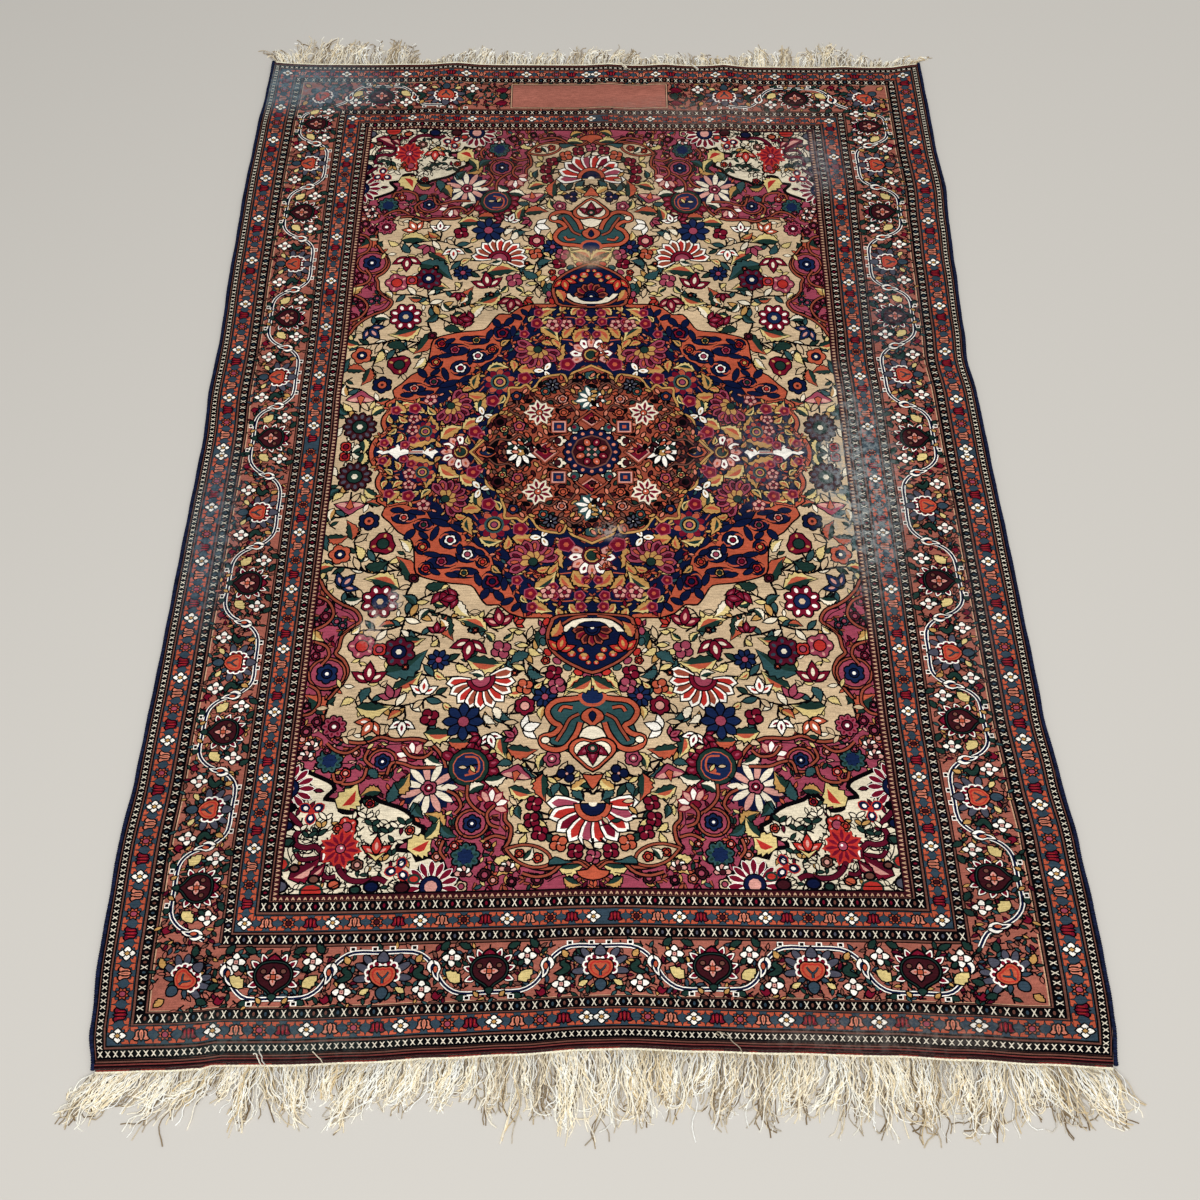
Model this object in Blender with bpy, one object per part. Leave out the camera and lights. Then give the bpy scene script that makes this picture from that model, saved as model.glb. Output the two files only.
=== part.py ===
"""Hand-knotted rug lying on a floor: woven sheet, overcast sides, flat-woven ends and warp fringes.

Metres, +Z up, +Y along the rug towards its far end. The underside lies at z = 0 except under a few
low ripples at the far end.
"""
import math

import bmesh
import bpy

# Size of the woven rectangle, before its edges wander
HALF_WIDTH = 0.675
HALF_LENGTH = 0.970
PIECE_GAP = 0.0004          # clear gap left between neighbouring pieces
EDGE_REACH = 0.25           # how far an edge's wander carries into the rug
CENTRE_X = 0.0079           # shifts that put the middle of the whole object over the origin
CENTRE_Y = -0.0015

# Thicknesses
SHEET_THICK = 0.0060
KILIM_THICK = 0.0026
FRINGE_THICK_ROOT = 0.0030
FRINGE_THICK_TIP = 0.0020

# Overcast side cord
CORD_WIDTH = 0.0060
CORD_HEIGHT = 0.0072
CORD_OVERRUN_NEAR = 0.0022
CORD_OVERRUN_FAR = 0.0060

# Flat-woven ends and fringe roots
KILIM_WIDTH_NEAR = 0.0055
KILIM_WIDTH_FAR = 0.0070
FRINGE_ROOT_WIDTH = 0.0060
TUFT_FILL = 0.82            # share of each station taken by its tuft
TUFT_TIP_SHARE = 0.55       # tip width against root width
TUFT_ROWS = (0.5, 1.0)      # cross rows along a tuft
TUFT_BEND = 1.6             # 1 leans a tuft straight, more bends it
LENGTH_SWING = 0.08         # share by which neighbouring tufts differ in length
LEAN_SWING = 0.002          # sideways swing of neighbouring tufts

# Mesh stations
ACROSS = 42
ALONG = 36
END_CROWDING = 0.6          # 0 spaces the rows along evenly, more crowds them to the ends

# Outward wander of the long sides: distance from the middle towards the far end, wander
LEFT_WANDER = [
    (-0.97, 0.0010), (-0.92, 0.0110), (-0.82, 0.0170), (-0.68, 0.0185), (-0.57, 0.0120),
    (-0.37, 0.0075), (-0.17, 0.0050), (0.03, 0.0015), (0.13, 0.0065), (0.23, 0.0040),
    (0.43, 0.0080), (0.63, 0.0090), (0.78, 0.0060), (0.88, 0.0010), (0.97, -0.0010),
]
RIGHT_WANDER = [
    (-0.97, 0.0010), (-0.92, 0.0090), (-0.87, 0.0110), (-0.77, 0.0100), (-0.67, 0.0070),
    (-0.57, -0.0020), (-0.47, -0.0090), (-0.27, -0.0110), (-0.17, -0.0130), (0.03, -0.0170),
    (0.13, -0.0180), (0.205, -0.0250), (0.28, -0.0200), (0.43, -0.0150), (0.53, -0.0100),
    (0.63, -0.0040), (0.73, -0.0080), (0.97, -0.0080),
]
# Wander of the ends towards the far side: distance from the middle towards the right, wander
NEAR_WANDER = [
    (-0.675, 0.0010), (-0.575, 0.0030), (-0.535, 0.0050), (-0.515, 0.0090), (-0.425, 0.0090),
    (-0.325, 0.0120), (-0.225, 0.0170), (-0.125, 0.0210), (-0.025, 0.0270), (0.025, 0.0280),
    (0.125, 0.0240), (0.225, 0.0210), (0.375, 0.0170), (0.475, 0.0120), (0.575, 0.0060),
    (0.675, 0.0010),
]
FAR_WANDER = [
    (-0.675, 0.0060), (-0.625, 0.0010), (-0.575, -0.0010), (-0.475, -0.0010), (-0.375, 0.0010),
    (-0.300, 0.0020), (-0.215, 0.0010), (0.0, 0.0010), (0.200, 0.0010), (0.325, -0.0020),
    (0.525, -0.0030), (0.605, -0.0010), (0.645, 0.0060), (0.675, 0.0110),
]
# Low ripples that run in from the far end: x at the edge, x drift towards the near side over a
# metre, half width, height, y where each fades out, y where it is full
RIPPLES = [
    (-0.295, 0.30, 0.036, 0.0042, 0.62, 0.86),
    (0.020, 0.05, 0.030, 0.0036, 0.58, 0.80),
    (0.135, 0.10, 0.028, 0.0034, 0.72, 0.90),
    (0.262, 0.04, 0.026, 0.0046, 0.60, 0.84),
    (0.510, 0.06, 0.034, 0.0026, 0.80, 0.92),
]
# Fringe tufts: distance from the middle towards the right, length, sideways reach of the tip
NEAR_TUFTS = [
    (-0.675, 0.060, -0.050), (-0.625, 0.062, -0.028), (-0.560, 0.074, -0.010), (-0.530, 0.066, -0.010),
    (-0.500, 0.045, -0.008), (-0.455, 0.072, -0.004), (-0.415, 0.068, 0.004), (-0.360, 0.042, 0.002),
    (-0.310, 0.072, -0.010), (-0.250, 0.076, -0.006), (-0.200, 0.050, 0.000), (-0.100, 0.080, 0.002),
    (0.000, 0.082, 0.004), (0.080, 0.072, 0.002), (0.200, 0.078, -0.002), (0.310, 0.074, -0.004),
    (0.400, 0.080, 0.002), (0.500, 0.084, 0.004), (0.570, 0.064, 0.006), (0.630, 0.074, 0.010),
    (0.675, 0.058, 0.036),
]
FAR_TUFTS = [
    (-0.675, 0.044, -0.040), (-0.635, 0.034, -0.014), (-0.600, 0.066, 0.000), (-0.500, 0.072, 0.004),
    (-0.400, 0.070, 0.006), (-0.375, 0.014, 0.004), (-0.340, 0.010, 0.000), (-0.310, 0.030, 0.006),
    (-0.262, 0.056, 0.006), (-0.220, 0.036, 0.004), (-0.120, 0.038, 0.004), (-0.050, 0.046, 0.006),
    (0.045, 0.052, 0.008), (0.080, 0.022, 0.004), (0.130, 0.030, -0.004), (0.200, 0.036, -0.004),
    (0.270, 0.026, 0.000), (0.340, 0.056, 0.004), (0.410, 0.050, 0.002), (0.480, 0.060, 0.004),
    (0.530, 0.048, 0.004), (0.565, 0.024, 0.004), (0.635, 0.026, 0.016), (0.675, 0.030, 0.040),
]


def eased_lookup(table, at, column=1):
    """Read a column of a table at a place between its rows, easing from row to row."""
    if at <= table[0][0]:
        return table[0][column]
    for low, high in zip(table, table[1:]):
        if at <= high[0]:
            share = (at - low[0]) / (high[0] - low[0])
            eased = share * share * (3.0 - 2.0 * share)
            return low[column] + (high[column] - low[column]) * eased
    return table[-1][column]


def reach(distance):
    """How much of an edge's wander is felt at a distance inside it."""
    return math.exp(-max(distance, 0.0) / EDGE_REACH)


def floor_xy(x, y):
    """Place a point of the straight rectangle on the floor, with the edges' wander."""
    left = -eased_lookup(LEFT_WANDER, y) * reach(HALF_WIDTH + x)
    right = eased_lookup(RIGHT_WANDER, y) * reach(HALF_WIDTH - x)
    near = eased_lookup(NEAR_WANDER, x) * reach(HALF_LENGTH + y)
    far = eased_lookup(FAR_WANDER, x) * reach(HALF_LENGTH - y)
    return x + left + right + CENTRE_X, y + near + far + CENTRE_Y


def ripple_height(x, y):
    """Height of the underside above the floor."""
    height = 0.0
    for edge_x, drift, half_width, top, fade_y, full_y in RIPPLES:
        share = min(max((y - fade_y) / (full_y - fade_y), 0.0), 1.0)
        rise = share * share * (3.0 - 2.0 * share)
        middle = edge_x - drift * (HALF_LENGTH - y)
        height += top * rise * math.exp(-((x - middle) / half_width) ** 2)
    return height


def cloth_point(x, y, lift):
    """A point of the cloth at a height above its underside."""
    floor_x, floor_y = floor_xy(x, y)
    return floor_x, floor_y, ripple_height(x, y) + lift


def spread(low, high, count):
    """Evenly spaced stations from low to high."""
    return [low + (high - low) * step / count for step in range(count + 1)]


def crowded_rows():
    """Stations along the rug, closer together towards both ends."""
    angle = 0.5 * math.pi * END_CROWDING
    steps = spread(-1.0, 1.0, ALONG)
    return [HALF_LENGTH * math.sin(angle * step) / math.sin(angle) for step in steps]


def add_material(name, colour, roughness):
    """A plain material with a single colour."""
    material = bpy.data.materials.new(name)
    material.use_nodes = True
    shader = material.node_tree.nodes["Principled BSDF"]
    shader.inputs["Base Color"].default_value = (*colour, 1.0)
    shader.inputs["Roughness"].default_value = roughness
    shader.inputs["Metallic"].default_value = 0.0
    return material


def add_piece(name, points, faces, material):
    """A closed mesh object with outward faces."""
    mesh = bpy.data.meshes.new(name)
    mesh.from_pydata(points, [], faces)
    work = bmesh.new()
    work.from_mesh(mesh)
    bmesh.ops.recalc_face_normals(work, faces=work.faces)
    bmesh.ops.triangulate(work, faces=work.faces)
    work.to_mesh(mesh)
    work.free()
    mesh.materials.append(material)
    piece = bpy.data.objects.new(name, mesh)
    bpy.context.scene.collection.objects.link(piece)
    return piece


def sheet_mesh(columns, rows, thick):
    """Points and faces of a slab over a grid of stations."""
    points = [cloth_point(x, y, lift) for lift in (0.0, thick) for y in rows for x in columns]
    wide = len(columns)
    deep = len(rows)
    layer = wide * deep
    faces = []
    for row in range(deep - 1):
        for column in range(wide - 1):
            corner = row * wide + column
            quad = (corner, corner + 1, corner + wide + 1, corner + wide)
            faces.append(tuple(reversed(quad)))
            faces.append(tuple(index + layer for index in quad))
    rim = [column for column in range(wide)]
    rim += [row * wide + wide - 1 for row in range(1, deep)]
    rim += [(deep - 1) * wide + column for column in range(wide - 2, -1, -1)]
    rim += [row * wide for row in range(deep - 2, 0, -1)]
    for start, end in zip(rim, rim[1:] + rim[:1]):
        faces.append((start, end, end + layer, start + layer))
    return points, faces


def build_rug_body(columns, rows, material):
    """The knotted sheet between the side cords."""
    points, faces = sheet_mesh(columns, rows, SHEET_THICK)
    return add_piece("rug_body", points, faces, material)


def build_kilim_end(name, columns, inner_y, outer_y, material):
    """The narrow flat-woven band past one end of the pile."""
    points, faces = sheet_mesh(columns, sorted((inner_y, outer_y)), KILIM_THICK)
    return add_piece(name, points, faces, material)


def build_selvedge(name, side, rows, material):
    """The rounded cord along one long side; side is -1 on the left and 1 on the right."""
    profile = [
        (0.0, 0.0), (1.0, 0.0), (1.0, 0.55), (0.72, 1.0), (0.28, 1.0), (0.0, 0.55),
    ]
    stations = [-HALF_LENGTH - CORD_OVERRUN_NEAR, *rows, HALF_LENGTH + CORD_OVERRUN_FAR]
    points = []
    for y in stations:
        for across, up in profile:
            x = side * (HALF_WIDTH - CORD_WIDTH * (1.0 - across))
            points.append(cloth_point(x, y, up * CORD_HEIGHT))
    ring = len(profile)
    faces = []
    for station in range(len(stations) - 1):
        for corner in range(ring):
            start = station * ring + corner
            end = station * ring + (corner + 1) % ring
            faces.append((start, end, end + ring, start + ring))
    faces.append(tuple(range(ring)))
    faces.append(tuple(range(len(points) - ring, len(points))))
    return add_piece(name, points, faces, material)


class Comb:
    """Pairs of lower and upper points, with the faces between them."""

    def __init__(self):
        self.points = []
        self.faces = []

    def add_pair(self, place, thick):
        """Add a lower point and the upper point above it."""
        self.points.append(tuple(place))
        self.points.append((place[0], place[1], place[2] + thick))
        return len(self.points) - 2

    def add_wall(self, start, end):
        """Close one side between two pairs."""
        self.faces.append((start, end, end + 1, start + 1))

    def add_plates(self, *pairs):
        """Close the underside and the top between four pairs."""
        for level in (0, 1):
            self.faces.append(tuple(pair + level for pair in pairs))


def chord_point(columns, x, y):
    """A point of the straight run between the two stations around x."""
    for left, right in zip(columns, columns[1:]):
        if x <= right:
            break
    share = (x - left) / (right - left)
    start = cloth_point(left, y, 0.0)
    end = cloth_point(right, y, 0.0)
    return tuple(low + (high - low) * share for low, high in zip(start, end))


def tuft_marks(columns):
    """Places along the root band: each station, and both sides of the tuft after it."""
    marks = []
    for left, right in zip(columns, columns[1:]):
        margin = 0.5 * (1.0 - TUFT_FILL) * (right - left)
        marks += [left, left + margin, right - margin]
    return marks + [columns[-1]]


def add_tuft(comb, left, right, outward, length, lean):
    """Add one tapering tuft that starts at two pairs of the root band and lies on the floor."""
    low = comb.points[left]
    high = comb.points[right]
    middle_x = 0.5 * (low[0] + high[0])
    middle_y = 0.5 * (low[1] + high[1])
    for share in TUFT_ROWS:
        half = 0.5 * (high[0] - low[0]) * (1.0 + (TUFT_TIP_SHARE - 1.0) * share)
        thick = FRINGE_THICK_ROOT + (FRINGE_THICK_TIP - FRINGE_THICK_ROOT) * share
        x = middle_x + lean * share ** TUFT_BEND
        y = middle_y + outward * length * share
        next_left = comb.add_pair((x - half, y, 0.0), thick)
        next_right = comb.add_pair((x + half, y, 0.0), thick)
        comb.add_plates(left, right, next_right, next_left)
        comb.add_wall(left, next_left)
        comb.add_wall(right, next_right)
        left, right = next_left, next_right
    comb.add_wall(left, right)


def add_root_band(comb, columns, root_y, band_y):
    """Add the band that the tufts hang from; returns its outer pairs."""
    inner = []
    outer = []
    for x in tuft_marks(columns):
        inner.append(comb.add_pair(chord_point(columns, x, root_y), FRINGE_THICK_ROOT))
        outer.append(comb.add_pair(chord_point(columns, x, band_y), FRINGE_THICK_ROOT))
    for index in range(len(inner) - 1):
        comb.add_plates(inner[index], inner[index + 1], outer[index + 1], outer[index])
        comb.add_wall(inner[index], inner[index + 1])
        if index % 3 != 1:
            comb.add_wall(outer[index], outer[index + 1])
    comb.add_wall(inner[0], outer[0])
    comb.add_wall(inner[-1], outer[-1])
    return outer


def build_fringe(name, columns, root_y, outward, tufts, material):
    """A comb along one end, with a tuft at each station; outward is -1 near and 1 far."""
    comb = Comb()
    outer = add_root_band(comb, columns, root_y, root_y + outward * FRINGE_ROOT_WIDTH)
    for tuft in range(len(columns) - 1):
        centre = 0.5 * (columns[tuft] + columns[tuft + 1])
        length = eased_lookup(tufts, centre, 1) * (1.0 + LENGTH_SWING * math.sin(5.0 * tuft))
        lean = eased_lookup(tufts, centre, 2) + LEAN_SWING * math.sin(3.0 * tuft)
        add_tuft(comb, outer[3 * tuft + 1], outer[3 * tuft + 2], outward, length, lean)
    return add_piece(name, comb.points, comb.faces, material)


def build():
    """Build every piece of the rug."""
    for item in list(bpy.data.objects):
        bpy.data.objects.remove(item, do_unlink=True)
    wool = add_material("wool_pile", (0.165, 0.068, 0.050), 0.95)
    navy = add_material("navy_overcast", (0.012, 0.017, 0.042), 0.90)
    cotton = add_material("cotton_flatweave", (0.66, 0.60, 0.45), 0.92)
    thread = add_material("cotton_fringe", (0.60, 0.53, 0.37), 0.92)

    inner = HALF_WIDTH - CORD_WIDTH - PIECE_GAP
    columns = spread(-inner, inner, ACROSS)
    rows = crowded_rows()
    build_rug_body(columns, rows, wool)
    build_selvedge("selvedge_left", -1.0, rows, navy)
    build_selvedge("selvedge_right", 1.0, rows, navy)

    near_inner = -HALF_LENGTH - PIECE_GAP
    near_outer = near_inner - KILIM_WIDTH_NEAR
    far_inner = HALF_LENGTH + PIECE_GAP
    far_outer = far_inner + KILIM_WIDTH_FAR
    build_kilim_end("kilim_end_near", columns, near_inner, near_outer, cotton)
    build_kilim_end("kilim_end_far", columns, far_inner, far_outer, cotton)
    build_fringe("fringe_near", columns, near_outer - PIECE_GAP, -1.0, NEAR_TUFTS, thread)
    build_fringe("fringe_far", columns, far_outer + PIECE_GAP, 1.0, FAR_TUFTS, thread)


build()
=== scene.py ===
"""A hand-knotted medallion rug on a pale floor.

The pattern is drawn as flat shapes in millimetres over a straight rectangle, each shape over the ones
before it. The shapes are then cut into one flat mesh, and every point is carried to its place on the
cloth, with the wandering edges and the low ripples at the far end.
"""
import math
import random

import bpy
import numpy as np
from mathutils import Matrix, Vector
from mathutils.geometry import delaunay_2d_cdt


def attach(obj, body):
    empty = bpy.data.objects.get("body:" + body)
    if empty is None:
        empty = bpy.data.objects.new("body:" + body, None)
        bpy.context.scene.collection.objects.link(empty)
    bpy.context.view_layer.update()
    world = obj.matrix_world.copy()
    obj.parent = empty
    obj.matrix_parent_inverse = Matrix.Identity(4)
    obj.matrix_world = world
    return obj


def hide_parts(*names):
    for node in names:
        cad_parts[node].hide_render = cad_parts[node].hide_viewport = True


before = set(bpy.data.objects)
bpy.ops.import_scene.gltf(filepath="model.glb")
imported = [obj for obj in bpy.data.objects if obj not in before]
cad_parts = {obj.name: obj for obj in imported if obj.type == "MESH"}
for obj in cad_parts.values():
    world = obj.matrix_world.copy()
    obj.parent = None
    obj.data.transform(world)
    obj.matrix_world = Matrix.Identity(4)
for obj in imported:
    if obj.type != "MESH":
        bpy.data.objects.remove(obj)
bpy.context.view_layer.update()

CHANCE = random.Random(7)

# ---------------------------------------------------------------- the cloth, as the solids have it
HALF_WIDTH = 0.675
HALF_LENGTH = 0.970
EDGE_REACH = 0.25
CENTRE_X = 0.0079
CENTRE_Y = -0.0015
CORD_WIDTH = 0.0060
PILE_TOP = 0.0060
PILE_FOOT = 0.0046
PIECE_GAP = 0.0004
KILIM_NEAR = 0.0055
KILIM_FAR = 0.0070

LEFT_WANDER = [
    (-0.97, 0.0010), (-0.92, 0.0110), (-0.82, 0.0170), (-0.68, 0.0185), (-0.57, 0.0120),
    (-0.37, 0.0075), (-0.17, 0.0050), (0.03, 0.0015), (0.13, 0.0065), (0.23, 0.0040),
    (0.43, 0.0080), (0.63, 0.0090), (0.78, 0.0060), (0.88, 0.0010), (0.97, -0.0010),
]
RIGHT_WANDER = [
    (-0.97, 0.0010), (-0.92, 0.0090), (-0.87, 0.0110), (-0.77, 0.0100), (-0.67, 0.0070),
    (-0.57, -0.0020), (-0.47, -0.0090), (-0.27, -0.0110), (-0.17, -0.0130), (0.03, -0.0170),
    (0.13, -0.0180), (0.205, -0.0250), (0.28, -0.0200), (0.43, -0.0150), (0.53, -0.0100),
    (0.63, -0.0040), (0.73, -0.0080), (0.97, -0.0080),
]
NEAR_WANDER = [
    (-0.675, 0.0010), (-0.575, 0.0030), (-0.535, 0.0050), (-0.515, 0.0090), (-0.425, 0.0090),
    (-0.325, 0.0120), (-0.225, 0.0170), (-0.125, 0.0210), (-0.025, 0.0270), (0.025, 0.0280),
    (0.125, 0.0240), (0.225, 0.0210), (0.375, 0.0170), (0.475, 0.0120), (0.575, 0.0060),
    (0.675, 0.0010),
]
FAR_WANDER = [
    (-0.675, 0.0060), (-0.625, 0.0010), (-0.575, -0.0010), (-0.475, -0.0010), (-0.375, 0.0010),
    (-0.300, 0.0020), (-0.215, 0.0010), (0.0, 0.0010), (0.200, 0.0010), (0.325, -0.0020),
    (0.525, -0.0030), (0.605, -0.0010), (0.645, 0.0060), (0.675, 0.0110),
]
# x at the far edge, drift over a metre, half width, height, y where it fades out, y where it is full
RIPPLES = [
    (-0.295, 0.30, 0.036, 0.0042, 0.62, 0.86),
    (0.020, 0.05, 0.030, 0.0036, 0.58, 0.80),
    (0.135, 0.10, 0.028, 0.0034, 0.72, 0.90),
    (0.262, 0.04, 0.026, 0.0046, 0.60, 0.84),
    (0.510, 0.06, 0.034, 0.0026, 0.80, 0.92),
]
# Fringe tufts: distance from the middle towards the right, length, sideways reach of the tip
NEAR_TUFTS = [
    (-0.675, 0.060, -0.050), (-0.625, 0.062, -0.028), (-0.560, 0.074, -0.010), (-0.530, 0.066, -0.010),
    (-0.500, 0.045, -0.008), (-0.455, 0.072, -0.004), (-0.415, 0.068, 0.004), (-0.360, 0.042, 0.002),
    (-0.310, 0.072, -0.010), (-0.250, 0.076, -0.006), (-0.200, 0.050, 0.000), (-0.100, 0.080, 0.002),
    (0.000, 0.082, 0.004), (0.080, 0.072, 0.002), (0.200, 0.078, -0.002), (0.310, 0.074, -0.004),
    (0.400, 0.080, 0.002), (0.500, 0.084, 0.004), (0.570, 0.064, 0.006), (0.630, 0.074, 0.010),
    (0.675, 0.058, 0.036),
]
FAR_TUFTS = [
    (-0.675, 0.044, -0.040), (-0.635, 0.034, -0.014), (-0.600, 0.066, 0.000), (-0.500, 0.072, 0.004),
    (-0.400, 0.070, 0.006), (-0.375, 0.014, 0.004), (-0.340, 0.010, 0.000), (-0.310, 0.030, 0.006),
    (-0.262, 0.056, 0.006), (-0.220, 0.036, 0.004), (-0.120, 0.038, 0.004), (-0.050, 0.046, 0.006),
    (0.045, 0.052, 0.008), (0.080, 0.022, 0.004), (0.130, 0.030, -0.004), (0.200, 0.036, -0.004),
    (0.270, 0.026, 0.000), (0.340, 0.056, 0.004), (0.410, 0.050, 0.002), (0.480, 0.060, 0.004),
    (0.530, 0.048, 0.004), (0.565, 0.024, 0.004), (0.635, 0.026, 0.016), (0.675, 0.030, 0.040),
]
# Drawing millimetres to millimetres on the rectangle: the weaver's bands aren't equally wide all round
X_MAP = [(-675, -675), (-441, -449), (0, -16), (441, 417), (675, 675)]
Y_MAP = [
    (-970, -970), (-754, -744), (0, 6), (754, 778), (827, 840), (901, 915), (942, 952), (970, 970),
]


def eased(table, at):
    """Values between a table's rows, easing from row to row; at is an array."""
    rows = np.array(table)
    index = np.clip(np.searchsorted(rows[:, 0], at) - 1, 0, len(rows) - 2)
    low, high = rows[index], rows[index + 1]
    share = np.clip((at - low[:, 0]) / (high[:, 0] - low[:, 0]), 0.0, 1.0)
    return low[:, 1] + (high[:, 1] - low[:, 1]) * share * share * (3.0 - 2.0 * share)


def reach(distance):
    """How much of an edge's wander is felt at a distance inside it."""
    return np.exp(-np.maximum(distance, 0.0) / EDGE_REACH)


def ripple_height(x, y):
    """Height of the underside above the floor."""
    height = np.zeros_like(x)
    for edge_x, drift, half_width, top, fade_y, full_y in RIPPLES:
        share = np.clip((y - fade_y) / (full_y - fade_y), 0.0, 1.0)
        rise = share * share * (3.0 - 2.0 * share)
        middle = edge_x - drift * (HALF_LENGTH - y)
        height += top * rise * np.exp(-((x - middle) / half_width) ** 2)
    return height


def cloth_points(x, y, lift):
    """Places in the row frame of points of the straight rectangle, in metres."""
    x = np.asarray(x, float)
    y = np.asarray(y, float)
    shift_x = eased(RIGHT_WANDER, y) * reach(HALF_WIDTH - x) - eased(LEFT_WANDER, y) * reach(HALF_WIDTH + x)
    shift_y = eased(NEAR_WANDER, x) * reach(HALF_LENGTH + y) + eased(FAR_WANDER, x) * reach(HALF_LENGTH - y)
    height = ripple_height(x, y) + lift
    return np.stack([x + shift_x + CENTRE_X, y + shift_y + CENTRE_Y, height], 1)


def drawn_points(places, lift):
    """Places in the row frame of points of the drawing, in millimetres."""
    places = np.asarray(places, float)
    x = np.interp(places[:, 0], *zip(*X_MAP)) * 0.001
    y = np.interp(places[:, 1], *zip(*Y_MAP)) * 0.001
    return cloth_points(x, y, lift)


def along_x(x):
    """Drawing x of a distance from the left edge, in millimetres."""
    return float(np.interp(x - 1000.0 * HALF_WIDTH, [b for _, b in X_MAP], [a for a, _ in X_MAP]))


def along_y(y):
    """Drawing y of a distance from the near edge, in millimetres."""
    return float(np.interp(y - 970.0, [b for _, b in Y_MAP], [a for a, _ in Y_MAP]))


# ---------------------------------------------------------------- yarns and drawing
YARN = {
    "ink": (8, 6, 9), "navy": (14, 22, 52), "black": (8, 7, 10), "brown": (104, 66, 56),
    "salmon": (154, 90, 76), "cartouche": (160, 98, 84), "beige": (198, 172, 138),
    "rose": (148, 64, 82), "rust": (144, 70, 52), "orange": (176, 82, 58), "red": (172, 46, 40),
    "crimson": (108, 18, 38), "maroon": (56, 20, 26), "teal": (44, 74, 76), "green": (28, 50, 44),
    "ivory": (228, 216, 192), "bone": (218, 206, 180), "white": (244, 238, 226), "slate": (48, 64, 76),
    "yellow": (208, 186, 124), "gold": (182, 138, 80), "pink": (204, 146, 134),
    "cream": (194, 154, 124), "bead": (220, 210, 190), "grey": (72, 72, 84), "peach": (202, 122, 98),
    "blue": (22, 36, 70), "wine": (82, 16, 34), "edge": (112, 52, 48),
}
YARN_ORDER = list(YARN)
EDGE_X = 675.0      # half the drawing's width and length, in millimetres
EDGE_Y = 970.0
SHAPES = []     # (points in drawing millimetres, yarn number), later ones on top
LONGEST_EDGE = 24.0
SLACK = 0.30        # how far a line may move when its points are thinned out
OUTLINE = 1.6       # all dark lines are this much heavier than given


def divided(points):
    """A closed outline with its long sides divided."""
    full = []
    for start, end in zip(points, points[1:] + points[:1]):
        steps = max(1, int(math.dist(start, end) / LONGEST_EDGE))
        full += [
            (start[0] + (end[0] - start[0]) * step / steps, start[1] + (end[1] - start[1]) * step / steps)
            for step in range(steps)
        ]
    return full


def add_shape(points, yarn):
    """Add a filled shape in drawing millimetres, anticlockwise."""
    if signed_area(points) < 0.0:
        points = points[::-1]
    SHAPES.append((divided(points), YARN_ORDER.index(yarn)))


def signed_area(points):
    """Area of a closed outline, positive anticlockwise."""
    return 0.5 * sum(a[0] * b[1] - b[0] * a[1] for a, b in zip(points, points[1:] + points[:1]))


def grow(points, by):
    """A closed outline moved outwards."""
    turn = 1.0 if signed_area(points) > 0.0 else -1.0
    grown = []
    for before, here, after in zip(points[-1:] + points[:-1], points, points[1:] + points[:1]):
        first = Vector((here[0] - before[0], here[1] - before[1])).normalized()
        second = Vector((after[0] - here[0], after[1] - here[1])).normalized()
        middle = first + second
        if middle.length < 1e-6:
            middle = second
        middle.normalize()
        miter = by / max(0.55, abs(middle.dot(second)))
        grown.append((here[0] + turn * middle.y * miter, here[1] - turn * middle.x * miter))
    return grown


def smooth(points, closed=True, steps=3):
    """A soft line through the points."""
    count = len(points)
    full = []
    for index in range(count if closed else count - 1):
        if closed:
            a, b, c, d = (points[(index + shift) % count] for shift in (-1, 0, 1, 2))
        else:
            a, b, c, d = (points[min(max(index + shift, 0), count - 1)] for shift in (-1, 0, 1, 2))
        for step in range(steps):
            t = step / steps
            full.append(tuple(
                0.5 * (2 * q + (r - p) * t + (2 * p - 5 * q + 4 * r - s) * t * t
                       + (3 * q - p - 3 * r + s) * t ** 3)
                for p, q, r, s in zip(a, b, c, d)
            ))
    if not closed:
        full.append(tuple(points[-1]))
    return full


def lobed(radius_x, radius_y=None, lobes=0, depth=0.0, count=None, turn=0.0):
    """A round outline with lobes."""
    radius_y = radius_x if radius_y is None else radius_y
    count = count or (max(10, lobes * 4) if lobes else 12)
    points = []
    for index in range(count):
        angle = 2.0 * math.pi * index / count + turn
        share = 1.0 - depth * (1.0 - abs(math.cos(0.5 * lobes * (angle - turn)))) if lobes else 1.0
        points.append((radius_x * share * math.cos(angle), radius_y * share * math.sin(angle)))
    return points


def mirrored(half):
    """A whole outline from its right half, given from the bottom to the top."""
    return half + [(-x, y) for x, y in reversed(half) if abs(x) > 0.01]


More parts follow.
